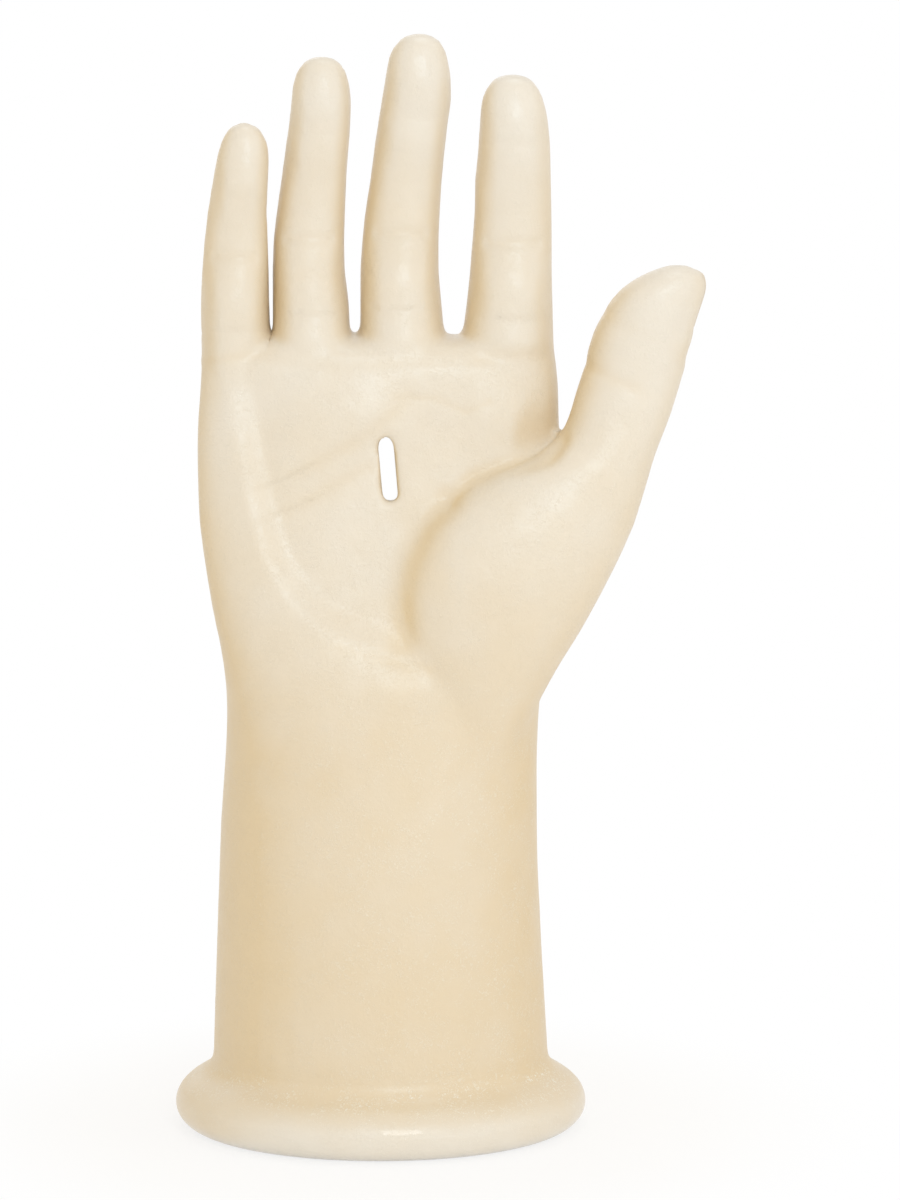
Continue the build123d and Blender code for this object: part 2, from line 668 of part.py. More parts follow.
# ---- Foam of the palm, in two halves round the frame -------------------------------------------
with BuildPart() as palm_core:
    add(hand_form(CORE_INSET))
    with Locations((0, 0, flange_top + CORE_GAP)):
        Box(4 * FAR, 4 * FAR, 3 * FAR, align=TOP_DOWN, mode=Mode.SUBTRACT)
    add(slot_form(SLOT_WALL + SLOT_GAP), mode=Mode.SUBTRACT)
    for digit in DIGITS:
        add(hinge_relief(digit.plane), mode=Mode.SUBTRACT)
        add(post_form(digit, POCKET_GAP), mode=Mode.SUBTRACT)
        head_radius = SCREW_HEAD_RATIO * POST_SCREW_RADIUS + POCKET_GAP
        for plane in foot_planes(digit):
            add(drill(plane, head_radius, SCREW_HEAD_HEIGHT + POCKET_GAP, 0.0), mode=Mode.SUBTRACT)
    with Locations((0, 0, flange_top)):
        Box(ARCH_WIDTH, FLANGE_HOLE * 2, 2 * (ARCH_TOP - flange_top), mode=Mode.SUBTRACT)
    with BuildSketch(Plane.XY.offset(flange_top)):
        with flange_spots:
            Circle(SCREW_HEAD_RATIO * FLANGE_SCREW_RADIUS + POCKET_GAP)
        with GridLocations(GUSSET_SPACING, 0, 2, 1):
            with Locations((0, PLATE_BACK + GUSSET_REACH / 2)):
                Rectangle(PLATE_THICK + 2 * POCKET_GAP, GUSSET_REACH + 2 * POCKET_GAP)
    extrude(amount=GUSSET_HEIGHT + POCKET_GAP, mode=Mode.SUBTRACT)
palm_top = PALM_STATIONS[-1][0]
for direction, face, top, half_name in (
    (-1, PLATE_FRONT - POCKET_GAP, palm_top + STUB, "front"),
    (1, PLATE_BACK + POCKET_GAP, palm_top - CORE_INSET, "back"),
):
    with BuildPart() as core_half:
        add(palm_core.part)
        with Locations((0, face + direction * FAR, top)):
            Box(4 * FAR, 2 * FAR, 2 * FAR, align=TOP_DOWN, mode=Mode.INTERSECT)
    export(core_half.part, f"palm_core_{half_name}")


# ---- Fingers and thumb past the knuckle --------------------------------------------------------
def segment(form, digit, start, end, relief=()):
    """The part of a digit's form between two hinges, or from the last hinge to the tip."""
    with BuildPart() as piece:
        add(form)
        add(beyond(digit, start, 1, BESIDE), mode=Mode.INTERSECT)
        if end is not None:
            add(beyond(digit, end, -1, BESIDE), mode=Mode.SUBTRACT)
        for hollow in relief:
            add(hollow, mode=Mode.SUBTRACT)
    return piece.part


def tip_link(digit):
    """The last link: a tongue, a block and a rod."""
    with BuildPart() as link:
        add(tongue(digit.middle))
        add(tip_link_form(digit, 0.0))
    return link.part


for digit in DIGITS:
    with BuildPart() as glove:
        add(outer_form(digit, 0.0))
        add(outer_form(digit, GLOVE_WALL), mode=Mode.SUBTRACT)
    foam = outer_form(digit, CORE_INSET)
    tip_hollows = [hinge_relief(digit.middle), tip_link_form(digit, POCKET_GAP)]

    export(segment(glove.part, digit, digit.middle, None), f"{digit.name}_tip_glove")
    export(segment(foam, digit, digit.middle, None, tip_hollows), f"{digit.name}_tip_core")
    export(tip_link(digit), f"{digit.name}_tip_link")
    if digit is THUMB:
        continue

    with BuildPart() as base_link:
        add(base_link_form(digit, 0.0))
        add(clevis_slot(digit.middle), mode=Mode.SUBTRACT)
        add(tongue(digit.plane))
    base_hollows = [hinge_relief(digit.plane), hinge_relief(digit.middle), base_link_form(digit, POCKET_GAP)]
    export(base_link.part, f"{digit.name}_base_link")
    export(segment(glove.part, digit, digit.plane, digit.middle), f"{digit.name}_base_glove")
    export(segment(foam, digit, digit.plane, digit.middle, base_hollows), f"{digit.name}_base_core")
    export(pin(digit.middle), f"{digit.name}_middle_pin")
    export(washers(digit.middle), f"{digit.name}_middle_washers")
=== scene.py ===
"""A passive prosthetic hand, dressed for looks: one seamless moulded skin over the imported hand.

Run as a script, it models the skin, gives every metal, foam and plastic piece inside it a finish
and sets the studio.  The sizes and colours that a user would change are in the sidebar panel.
"""

import json
import math
from functools import partial

import bmesh
import bpy
import numpy as np
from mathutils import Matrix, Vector

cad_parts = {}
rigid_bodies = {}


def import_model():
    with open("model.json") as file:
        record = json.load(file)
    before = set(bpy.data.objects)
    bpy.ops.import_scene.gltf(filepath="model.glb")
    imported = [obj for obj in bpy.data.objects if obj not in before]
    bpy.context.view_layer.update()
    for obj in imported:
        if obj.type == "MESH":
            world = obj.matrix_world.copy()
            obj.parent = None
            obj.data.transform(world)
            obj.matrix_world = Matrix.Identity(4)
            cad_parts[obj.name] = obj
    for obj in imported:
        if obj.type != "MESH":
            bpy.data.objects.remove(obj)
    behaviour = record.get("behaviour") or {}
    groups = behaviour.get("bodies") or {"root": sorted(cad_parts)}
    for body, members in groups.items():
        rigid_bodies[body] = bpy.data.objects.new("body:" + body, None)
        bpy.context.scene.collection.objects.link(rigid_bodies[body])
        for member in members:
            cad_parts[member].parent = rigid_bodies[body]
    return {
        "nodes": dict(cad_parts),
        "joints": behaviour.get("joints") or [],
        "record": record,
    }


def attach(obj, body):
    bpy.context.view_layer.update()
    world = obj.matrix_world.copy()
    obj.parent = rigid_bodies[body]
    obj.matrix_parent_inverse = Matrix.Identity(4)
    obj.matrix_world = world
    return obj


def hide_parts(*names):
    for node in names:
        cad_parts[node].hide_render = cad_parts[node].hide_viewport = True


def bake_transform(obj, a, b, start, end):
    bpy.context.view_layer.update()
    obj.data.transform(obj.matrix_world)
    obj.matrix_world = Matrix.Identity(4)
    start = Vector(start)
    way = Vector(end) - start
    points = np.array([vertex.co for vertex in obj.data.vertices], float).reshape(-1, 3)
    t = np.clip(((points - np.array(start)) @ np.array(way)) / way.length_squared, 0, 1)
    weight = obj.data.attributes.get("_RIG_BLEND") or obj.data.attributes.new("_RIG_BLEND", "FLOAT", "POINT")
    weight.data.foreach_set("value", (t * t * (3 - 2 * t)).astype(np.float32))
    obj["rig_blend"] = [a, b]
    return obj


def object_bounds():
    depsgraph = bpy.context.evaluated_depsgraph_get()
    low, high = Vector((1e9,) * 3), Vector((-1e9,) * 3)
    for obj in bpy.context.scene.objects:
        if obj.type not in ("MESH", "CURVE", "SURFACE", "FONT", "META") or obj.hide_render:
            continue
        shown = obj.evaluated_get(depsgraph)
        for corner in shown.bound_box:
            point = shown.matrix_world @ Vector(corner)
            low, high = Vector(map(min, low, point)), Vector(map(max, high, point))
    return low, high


bl_info = {
    "name": "Prosthetic hand",
    "version": (1, 0, 0),
    "blender": (4, 5, 0),
    "location": "View3D > Sidebar > Hand",
    "description": "Models the skin of a passive prosthetic hand and dresses its inner parts",
    "category": "Object",
}

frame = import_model()
CAD_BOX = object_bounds()
JOINTS = {joint["name"]: joint for joint in frame["joints"]}
OPENINGS = {hole["name"]: hole["box_m"] for hole in frame["record"]["physics"]["openings"]}
SLOTS = {part["node"]: part["material_slot"] for part in frame["record"]["subparts"]}

MM = 0.001
FINGERS = ("index", "middle", "ring", "little")
RING_POINTS = 48

# ---- Forms ---------------------------------------------------------------------------------------
# All forms are in millimetres: -Y is out of the palm, +X towards the thumb, +Z up.
# Palm and cuff rings: height, little-finger side, thumb side, palm face, back, squareness.
PALM_RINGS = [
    (-95.0, -44.4, 44.3, -35.8, 35.8, 2.0),
    (-84.0, -44.2, 44.0, -35.5, 35.5, 2.0),
    (-60.0, -43.4, 42.6, -34.4, 34.4, 2.0),
    (-33.0, -42.4, 41.3, -33.0, 33.0, 2.05),
    (-20.0, -41.8, 41.1, -31.8, 31.6, 2.1),
    (-6.0, -40.7, 41.0, -30.2, 29.6, 2.15),
    (5.0, -40.1, 41.4, -28.9, 28.0, 2.2),
    (14.0, -40.2, 42.0, -27.2, 25.8, 2.3),
    (24.0, -41.4, 43.0, -24.9, 23.5, 2.4),
    (34.0, -43.4, 44.2, -22.3, 21.2, 2.5),
    (46.0, -45.2, 45.4, -19.5, 19.0, 2.6),
    (58.0, -46.6, 46.4, -17.5, 17.3, 2.7),
    (70.0, -46.8, 46.8, -15.8, 16.2, 2.8),
    (79.0, -46.9, 46.6, -15.0, 15.8, 2.9),
    (86.0, -46.7, 46.4, -14.9, 15.5, 2.9),
    (93.0, -46.3, 46.2, -14.8, 15.2, 2.9),
    (98.5, -46.1, 45.6, -14.5, 14.5, 2.9),
    (102.0, -45.7, 45.1, -13.2, 13.0, 2.8),
    (104.0, -44.9, 44.3, -10.6, 10.4, 2.7),
    (105.0, -43.6, 43.0, -7.2, 7.0, 2.6),
]
# The ball of the thumb, running on into the thumb.
THUMB_RINGS = [
    (0.0, 18.0, 37.0, -24.0, 10.0, 2.0),
    (10.0, 12.0, 41.0, -26.4, 10.0, 2.0),
    (20.0, 6.0, 46.2, -28.4, 8.0, 2.0),
    (30.0, 1.6, 52.2, -29.8, 6.0, 2.1),
    (40.0, 1.0, 57.5, -30.2, 4.0, 2.2),
    (49.0, 3.6, 62.0, -29.6, 3.0, 2.2),
    (58.0, 9.6, 65.7, -28.2, 2.0, 2.2),
    (66.0, 18.8, 68.2, -26.2, 1.5, 2.2),
    (71.5, 29.0, 69.8, -24.6, 1.5, 2.2),
    (75.0, 38.5, 70.8, -23.4, 1.5, 2.2),
    (79.0, 44.8, 72.3, -22.2, 1.5, 2.2),
    (82.0, 47.4, 73.5, -21.6, 1.5, 2.2),
    (86.0, 49.0, 75.0, -21.0, 1.5, 2.2),
    (92.0, 50.7, 76.8, -20.4, 1.4, 2.2),
    (98.0, 52.6, 78.2, -20.2, 1.2, 2.2),
    (103.0, 53.7, 79.0, -20.2, 0.7, 2.2),
    (107.5, 55.1, 79.6, -20.4, 0.0, 2.2),
    (111.0, 56.8, 80.5, -20.6, -0.8, 2.2),
    (115.0, 59.0, 82.1, -20.6, -1.8, 2.2),
    (118.5, 62.0, 83.4, -20.3, -3.0, 2.2),
    (121.0, 65.4, 83.6, -19.6, -4.6, 2.1),
    (123.0, 69.2, 82.2, -18.4, -6.6, 2.0),
    (124.6, 73.6, 79.2, -15.6, -9.6, 2.0),
]
# Finger rings: height, little-finger side and thumb side.
FINGER_RINGS = {
    "little": [
        (92.0, -45.6, -27.6), (99.0, -46.0, -28.0), (106.0, -46.1, -28.2), (114.0, -46.1, -28.4),
        (122.0, -45.7, -28.4), (131.0, -44.9, -28.6), (138.0, -44.0, -28.8), (146.0, -42.6, -28.3),
        (151.0, -41.7, -28.0), (154.5, -40.8, -28.1), (157.5, -39.7, -29.1), (159.6, -38.0, -30.9),
        (160.7, -35.9, -33.0),
    ],
    "ring": [
        (92.0, -27.5, -8.0), (104.0, -27.6, -7.5), (114.0, -27.6, -7.9), (122.0, -27.6, -8.9),
        (130.0, -27.4, -9.0), (138.0, -26.4, -8.7), (146.0, -25.2, -8.4), (154.0, -24.1, -7.7),
        (161.0, -23.0, -7.2), (166.0, -22.5, -7.0), (170.0, -22.1, -7.4), (173.5, -21.2, -8.2),
        (176.0, -19.2, -10.0), (177.4, -16.6, -12.6),
    ],
    "middle": [
        (92.0, -5.0, 16.5), (104.0, -5.0, 16.9), (114.0, -5.0, 16.0), (122.0, -5.0, 15.3),
        (130.0, -4.5, 15.3), (138.0, -3.6, 15.7), (146.0, -2.3, 16.2), (154.0, -1.3, 17.0),
        (161.0, -0.2, 17.8), (166.0, 0.6, 18.6), (172.0, 1.6, 18.5), (177.0, 2.4, 17.7),
        (180.0, 3.7, 16.7), (182.2, 6.0, 14.6), (183.3, 8.8, 12.0),
    ],
    "index": [
        (92.0, 21.0, 45.6), (104.0, 21.2, 45.0), (114.0, 22.5, 44.7), (122.0, 23.3, 44.5),
        (130.0, 23.9, 44.5), (138.0, 24.5, 44.4), (146.0, 24.6, 44.2), (154.0, 25.4, 44.0),
        (161.0, 25.8, 43.4), (165.0, 26.0, 42.6), (168.5, 26.9, 41.4), (171.2, 28.7, 39.5),
        (172.8, 31.6, 36.6),
    ],
}
FINGER_SQUARENESS = 2.15
# A finger's depth to its width, from its knuckle hinge (0) to its tip (1).
DEPTH_SHARES = (0.0, 0.27, 0.45, 0.62, 0.82, 1.0)
DEPTH_RATIOS = (0.90, 0.90, 0.90, 0.88, 0.90, 0.80)
# Where the fingers run out of the palm: their fronts at some heights and their common back, and the
# heights between which each takes on its own depth.
ROOT_HEIGHTS = (92.0, 100.0, 104.0, 110.0)
ROOT_FRONTS = (-8.0, -12.4, -13.4, -13.0)
ROOT_BACK = 12.6
ROOT_FADE = (104.0, 130.0)
# How far each finger's tip bows out of the palm's plane, and how late the bow sets in.
TIP_BOW = {"index": 6.0, "middle": 7.0, "ring": 7.0, "little": 6.0}
BOW_POWER = 1.6
# The little finger lies so close to the ring finger that it is modelled this far off and moved
# back once the skin is one mesh: how far, and the heights and widths over which the shift fades in.
SPREAD = 2.6
SPREAD_HEIGHTS = (99.0, 106.0)
SPREAD_WIDTHS = (-30.6, -27.9)

# The broad forms of the palm, which are softened further: between these heights, short of the
# thumb (a range of X + Z, which grows along it) and round the slot.
BROAD_TOP = (76.0, 96.0)
BROAD_FOOT = (-80.0, -40.0)
BROAD_THUMB = (108.0, 124.0)
BROAD_STEPS = 10
SLOT_CENTRE = (2.0, 71.0)
SLOT_CLEARING = (6.0, 14.0)
SLOT_WALL = (5.0, 12.0, 13.0)  # half sizes of the region whose skin is the slot's wall
SLOT_CORNER = 1.4
SLOT_CUTTER = 50.0  # the length of the slot's cutter, through the palm
TUNNEL_PAINTED_LIGHT_MARK = -1.0  # the painted-shading value that marks the slot's wall, which is painted paler as painted light

# Heights past a hinge, along the digit: where the skin starts and ends its bend.
KNUCKLE_BEND = {
    "index": (-8.0, 8.0),
    "middle": (-7.5, 8.0),
    "ring": (-6.5, 7.5),
    "little": (-5.0, 8.0),
}
MIDDLE_BEND = {
    "index": (-8.0, 8.5),
    "middle": (-8.0, 8.5),
    "ring": (-8.0, 8.5),
    "little": (-7.0, 7.0),
}
THUMB_BEND = (-8.5, 9.5)
THUMB_LEAN = math.radians(18.0)
THUMB_REGION = (47.5, 60.0)  # the thumb's skin lies past this X and this height
LITTLE_BORDER = -28.1  # between the little and the ring finger, in X

# The rolled rim below the cuff: distance out from the cuff's outside, and height.
RIM_CUT = -84.0
RIM_PROFILE = [
    (0.1, -85.2), (0.6, -86.6), (1.6, -88.0), (3.2, -89.3), (5.2, -90.5), (7.1, -91.9),
    (8.7, -93.6), (9.7, -95.6), (10.0, -97.6), (9.6, -99.6), (8.5, -101.4), (6.9, -102.8),
    (5.0, -103.7), (3.4, -104.0), (0.6, -104.0), (-1.1, -103.4), (-1.8, -102.0),
]
RIM_FINENESS = 3  # rings to each point of the profile
RIM_SQUARENESS = 2.0
# The cuff's hollow, from the rim up.
GLOVE_WALL = 1.8
SOCKET_SQUARENESS = 2.05
SOCKET_HEIGHTS = (-90.0, -72.0, -54.0, -36.0, -18.0, -6.0, 3.0)

# ---- Relief of the skin --------------------------------------------------------------------------
# Creases of the palm: X and Z along the line, half width, depth and painted shade.
PALM_CREASES = [
    (
        [(46.5, 80.6), (43.0, 76.2), (38.0, 74.4), (31.0, 73.0), (23.8, 70.2), (17.4, 64.8)],
        1.8, 0.9, 0.55,
    ),
    (
        [(17.4, 64.8), (12.0, 57.5), (8.4, 49.0), (6.4, 41.0), (5.8, 34.0), (6.6, 29.0)],
        3.4, 0.7, 0.5,
    ),
    ([(-24.0, 61.5), (-13.0, 67.0), (-3.0, 72.5)], 1.8, 0.35, 0.12),
    ([(-22.0, 71.0), (-5.2, 79.3), (3.8, 86.5), (8.2, 90.8)], 1.8, 0.35, 0.12),
    ([(4.0, 91.0), (14.5, 90.5), (22.0, 87.0), (28.5, 89.5)], 0.8, 0.2, 0.15),
    ([(-28.0, 101.0), (-14.0, 99.0), (4.0, 99.5), (22.0, 100.5), (40.0, 101.5)], 2.2, 0.35, 0.1),
    ([(-44.0, 100.0), (-34.0, 101.2), (-27.0, 102.0)], 1.3, 0.25, 0.15),
    ([(-10.0, 26.8), (2.0, 24.0), (13.0, 22.0)], 1.6, 0.2, 0.12),
]
# Mounds: X and Z of the centre, half widths along X and Z, height and painted shade, which the last three
# paint by the web, beside the ball of the thumb and on it.
PALM_MOUNDS = [
    ((-10.0, 86.0), (15.0, 8.0), 1.2, 0.0),
    ((31.0, 86.0), (8.0, 9.0), 1.4, 0.0),
    ((10.0, 15.5), (13.0, 5.0), 0.7, 0.0),
    ((41.0, 81.0), (6.0, 6.0), -1.2, 0.3),
    ((12.0, 50.0), (7.0, 18.0), 0.0, 0.25),
    ((40.0, 46.0), (17.0, 20.0), 0.0, 0.14),
]
# Edges of raised ground, which lies to the left of the way along them: X, Z, rise and half width
# of the slope.
HEEL_EDGE = [
    (36.0, 9.0, 0.0, 8.0),
    (28.0, 13.0, 0.0, 8.0),
    (20.8, 17.6, 0.1, 8.0),
    (14.0, 21.6, 0.4, 7.0),
    (7.0, 25.0, 1.1, 6.2),
    (0.0, 28.2, 1.8, 5.8),
    (-8.0, 31.8, 2.4, 5.5),
    (-15.2, 36.2, 2.8, 5.2),
    (-20.8, 41.4, 3.0, 4.9),
    (-24.9, 47.8, 3.2, 4.6),
    (-27.7, 55.0, 3.3, 4.3),
    (-29.7, 62.5, 3.4, 4.1),
    (-31.3, 70.5, 3.4, 4.0),
    (-32.9, 79.0, 3.2, 3.9),
    (-34.6, 87.5, 2.7, 3.9),
    (-36.4, 96.0, 1.6, 3.9),
    (-38.0, 106.0, 0.3, 3.9),
]
PAD_EDGES = [
    [
        (-27.0, 67.0, 0.1, 3.5),
        (-19.4, 72.3, 0.7, 3.5),
        (-5.2, 79.3, 0.9, 3.5),
        (3.8, 86.5, 0.4, 4.0),
        (8.2, 91.0, 0.0, 4.0),
    ],
    [
        (-27.0, 58.5, 0.1, 3.0),
        (-18.0, 64.5, 0.5, 3.0),
        (-8.0, 69.5, 0.5, 3.0),
        (-2.0, 74.0, 0.1, 3.0),
    ],
]
EDGE_FINENESS = 3  # steps to each point of an edge
PAD_REACH = (8.0, 22.0)  # how far from its edge a pad fades out again
HEEL_FOOT = (-16.0, 24.0)  # the heel rises out of the wrist between these heights
HEEL_TOP = 112.0

# A finger's last joint, as a share of the way from its middle hinge to its tip.
LAST_JOINT = 0.48
# In front, at the middle hinge and the last joint: a crease's height over the joint, its depth and
# painted shade, and how far below it a pad lies and how high that is.
FINGER_CREASES = ((-1.0, 0.5, 0.08, 11.0, 1.6), (4.5, 0.2, 0.0, 5.0, 1.2))
# Behind, at the same joints: the knuckle's height over the joint, its swell and its wrinkles.
FINGER_KNUCKLES = ((1.0, 0.8, 3), (1.5, 0.4, 2))
WRINKLE_GAP = 2.3
TIP_PAD = (13.0, 6.0, 1.2)  # the pad at the tip: how far below it, half its height, its swell
# Behind the knuckle hinge: the knuckle's drop, half widths and swell; the tendon's drop and foot,
# half width and swell.
KNUCKLE_HEAD = (5.0, (7.0, 8.0), 2.2)
TENDON = (14.0, 40.0, 2.4, 1.2)
NAIL_DROP = 8.5  # a fingernail's centre below the tip
NAIL_SHARE = 0.68  # a fingernail's width to the finger's
NAIL_HALF_LENGTH = 6.2

# The thumb: the way along its end and the way its nail faces; creases of its pad and of its nail
# side, as the distance past the hinge and the depth.
THUMB_UP = (0.42, 0.0, 0.91)
THUMB_OUT = (0.80, 0.55, -0.36)
THUMB_PAD_CREASES = ((1.5, 0.25), (15.0, 0.12))
THUMB_NAIL_CREASES = ((13.5, 0.3), (15.8, 0.25))
THUMB_CREASE_WIDTH = 1.6
THUMB_NAIL = (80.5, -4.8, 115.5)
THUMB_NAIL_UP = (0.36, 0.0, 0.93)
THUMB_NAIL_SIZE = (6.4, 7.0)  # half its width and length
# The fold that the thumb's nail grows out of: place, swell and the square of its half width.
THUMB_FOLD = (79.8, -10.4, 108.5)
THUMB_FOLD_SWELL = 1.1
THUMB_FOLD_SPREAD = 110.0

# A nail plate: its corners' radius, its rise at the free edge, and the groove round it with its painted
# shade.
NAIL_CORNER = 2.0
NAIL_RISE = 0.35
NAIL_GROOVE = 0.45
NAIL_GROOVE_WIDTH = 0.6
NAIL_SHADE = 0.3
NAIL_MARGIN = 4.0  # how far past its outline a nail is looked for
NAIL_DEPTH = 8.0  # and how far below its centre


def smooth_step(value, low, high):
    """0 below low, 1 above high and a smooth rise between them."""
    t = np.clip((value - low) / (high - low), 0.0, 1.0)
    return t * t * (3.0 - 2.0 * t)


def set_active(piece):
    """Leaves only this piece selected and active, in object mode."""
    if bpy.context.object and bpy.context.object.mode != "OBJECT":
        bpy.ops.object.mode_set(mode="OBJECT")
    bpy.ops.object.select_all(action="DESELECT")
    piece.select_set(True)
    bpy.context.view_layer.objects.active = piece


def apply_modifier(piece, kind, **settings):
    """Adds a modifier with these settings and applies it."""
    set_active(piece)
    modifier = piece.modifiers.new(kind.title(), kind)
    for name, value in settings.items():
        setattr(modifier, name, value)
    bpy.ops.object.modifier_apply(modifier=modifier.name)


def mesh_rows(piece, name="co"):
    """The mesh's points, or their normals, as an array of rows."""
    rows = np.empty(len(piece.data.vertices) * 3)
    piece.data.vertices.foreach_get(name, rows)
    return rows.reshape(-1, 3)


def joint_place(name):
    """A hinge's centre and the direction in which its digit runs on, in metres."""
    centre = Vector(JOINTS[name]["pos_m"])
    if name == "thumb_joint":
        return centre, Vector((math.sin(THUMB_LEAN), 0.0, math.cos(THUMB_LEAN)))
    return centre, Vector(JOINTS[name]["axis"]).cross(Vector((0.0, 1.0, 0.0))).normalized()


# ---- Limbs ---------------------------------------------------------------------------------------
def ring_point(turn, ring):
    """The point of a squared ring at a turn."""
    height, left, right, front, back, squareness = ring
    power = 2.0 / squareness
    c, s = math.cos(turn), math.sin(turn)
    x = (left + right) / 2 + (right - left) / 2 * math.copysign(abs(c) ** power, c)
    y = (front + back) / 2 + (back - front) / 2 * math.copysign(abs(s) ** power, s)
    return Vector((x, y, height)) * MM


def store_turns(piece, centre_x, half_x, half_y):
    """Notes each point's turn about the centre, which its extruded copies keep."""
    turns = piece.data.attributes.new("turn", "FLOAT", "POINT")
    x, y, _ = mesh_rows(piece).T
    turns.data.foreach_set("value", np.arctan2(y / half_y, (x - centre_x) / half_x))


def place_ring(piece, ring):
    """Puts the selected points on a ring."""
    shape = bmesh.from_edit_mesh(piece.data)
    turns = shape.verts.layers.float["turn"]
    for vertex in shape.verts:
        if vertex.select:
            vertex.co = ring_point(vertex[turns], ring)
    bmesh.update_edit_mesh(piece.data)


def limb(name, rings):
    """Extrudes a circle from ring to ring into a closed limb."""
    bpy.ops.object.select_all(action="DESELECT")
    bpy.ops.mesh.primitive_circle_add(vertices=RING_POINTS, radius=1.0, fill_type="NGON")
    piece = bpy.context.object
    piece.name = name
    store_turns(piece, 0.0, 1.0, 1.0)
    bpy.ops.object.mode_set(mode="EDIT")
    for number, ring in enumerate(rings):
        if number:
            bpy.ops.mesh.extrude_region_move()
        place_ring(piece, ring)
    bpy.ops.mesh.select_all(action="SELECT")
    bpy.ops.mesh.fill_holes(sides=0)
    bpy.ops.mesh.normals_make_consistent(inside=False)
    bpy.ops.object.mode_set(mode="OBJECT")
    return piece


def finger_rings(finger):
    """Full rings of a finger: its outline, its depth and the bow of its centre line."""
    root = Vector(JOINTS[f"{finger}_knuckle"]["pos_m"]) / MM
    middle = Vector(JOINTS[f"{finger}_middle"]["pos_m"]) / MM
    top = FINGER_RINGS[finger][-1][0]
    rings = []
    for height, left, right in FINGER_RINGS[finger]:
        share = (height - root.z) / (top - root.z)
        half = np.interp(share, DEPTH_SHARES, DEPTH_RATIOS) * (right - left) / 2
        past = max(0.0, (height - middle.z) / (top - middle.z))
        centre = root.y - TIP_BOW[finger] * past**BOW_POWER
        shift = -np.interp(height, SPREAD_HEIGHTS, (0.0, SPREAD)) if finger == "little" else 0.0
        root_front = np.interp(height, ROOT_HEIGHTS, ROOT_FRONTS)
        free = smooth_step(height, *ROOT_FADE)
        front = root_front + (centre - half - root_front) * free
        back = ROOT_BACK + (centre + half - ROOT_BACK) * free
        rings.append((height, left + shift, right + shift, front, back, FINGER_SQUARENESS))
    return rings


def soften_palm(skin, rounds):
    """Smooths the broad forms of the palm and wrist further than the digits and the slot."""
    x, _, z = (mesh_rows(skin) / MM).T
    weights = 1.0 - smooth_step(z, *BROAD_TOP)
    weights *= smooth_step(z, *BROAD_FOOT)
    weights *= 1.0 - smooth_step(x + z, *BROAD_THUMB)
    across = (x - SLOT_CENTRE[0]) / SLOT_CLEARING[0]
    along = (z - SLOT_CENTRE[1]) / SLOT_CLEARING[1]
    weights *= smooth_step(np.hypot(across, along), 1.0, 1.6)
    group = skin.vertex_groups.new(name="broad")
    steps = np.round(weights * BROAD_STEPS).astype(int)
    for step in range(1, BROAD_STEPS + 1):
        group.add(np.flatnonzero(steps == step).tolist(), step / BROAD_STEPS, "REPLACE")
    apply_modifier(skin, "SMOOTH", factor=0.5, iterations=rounds, vertex_group=group.name)
    skin.vertex_groups.clear()


def move_little_finger_back(skin):
    """Takes back the shift that kept the little finger off the ring finger."""
    rows = mesh_rows(skin)
    fade = np.interp(rows[:, 2] / MM, SPREAD_HEIGHTS, (0.0, 1.0))
    fade *= 1.0 - smooth_step(rows[:, 0] / MM, *SPREAD_WIDTHS)
    rows[:, 0] += SPREAD * MM * fade
    skin.data.vertices.foreach_set("co", rows.ravel())


def build_skin(settings):
    """Limbs, joined into one skin, cut through by the slot and softened into each other."""
    limbs = [limb("skin", PALM_RINGS), limb("thumb", THUMB_RINGS)]
    limbs += [limb(finger, finger_rings(finger)) for finger in FINGERS]
    skin = limbs[0]
    set_active(skin)
    for piece in limbs:
        piece.select_set(True)
    bpy.ops.object.join()
    remesh = {"mode": "VOXEL", "voxel_size": settings.grain}
    apply_modifier(skin, "REMESH", **remesh)
    cut_slot(skin, settings)
    apply_modifier(skin, "REMESH", use_smooth_shade=True, **remesh)
    apply_modifier(skin, "SMOOTH", factor=0.5, iterations=settings.softening)
    soften_palm(skin, settings.palm_softening)
    move_little_finger_back(skin)
    return skin


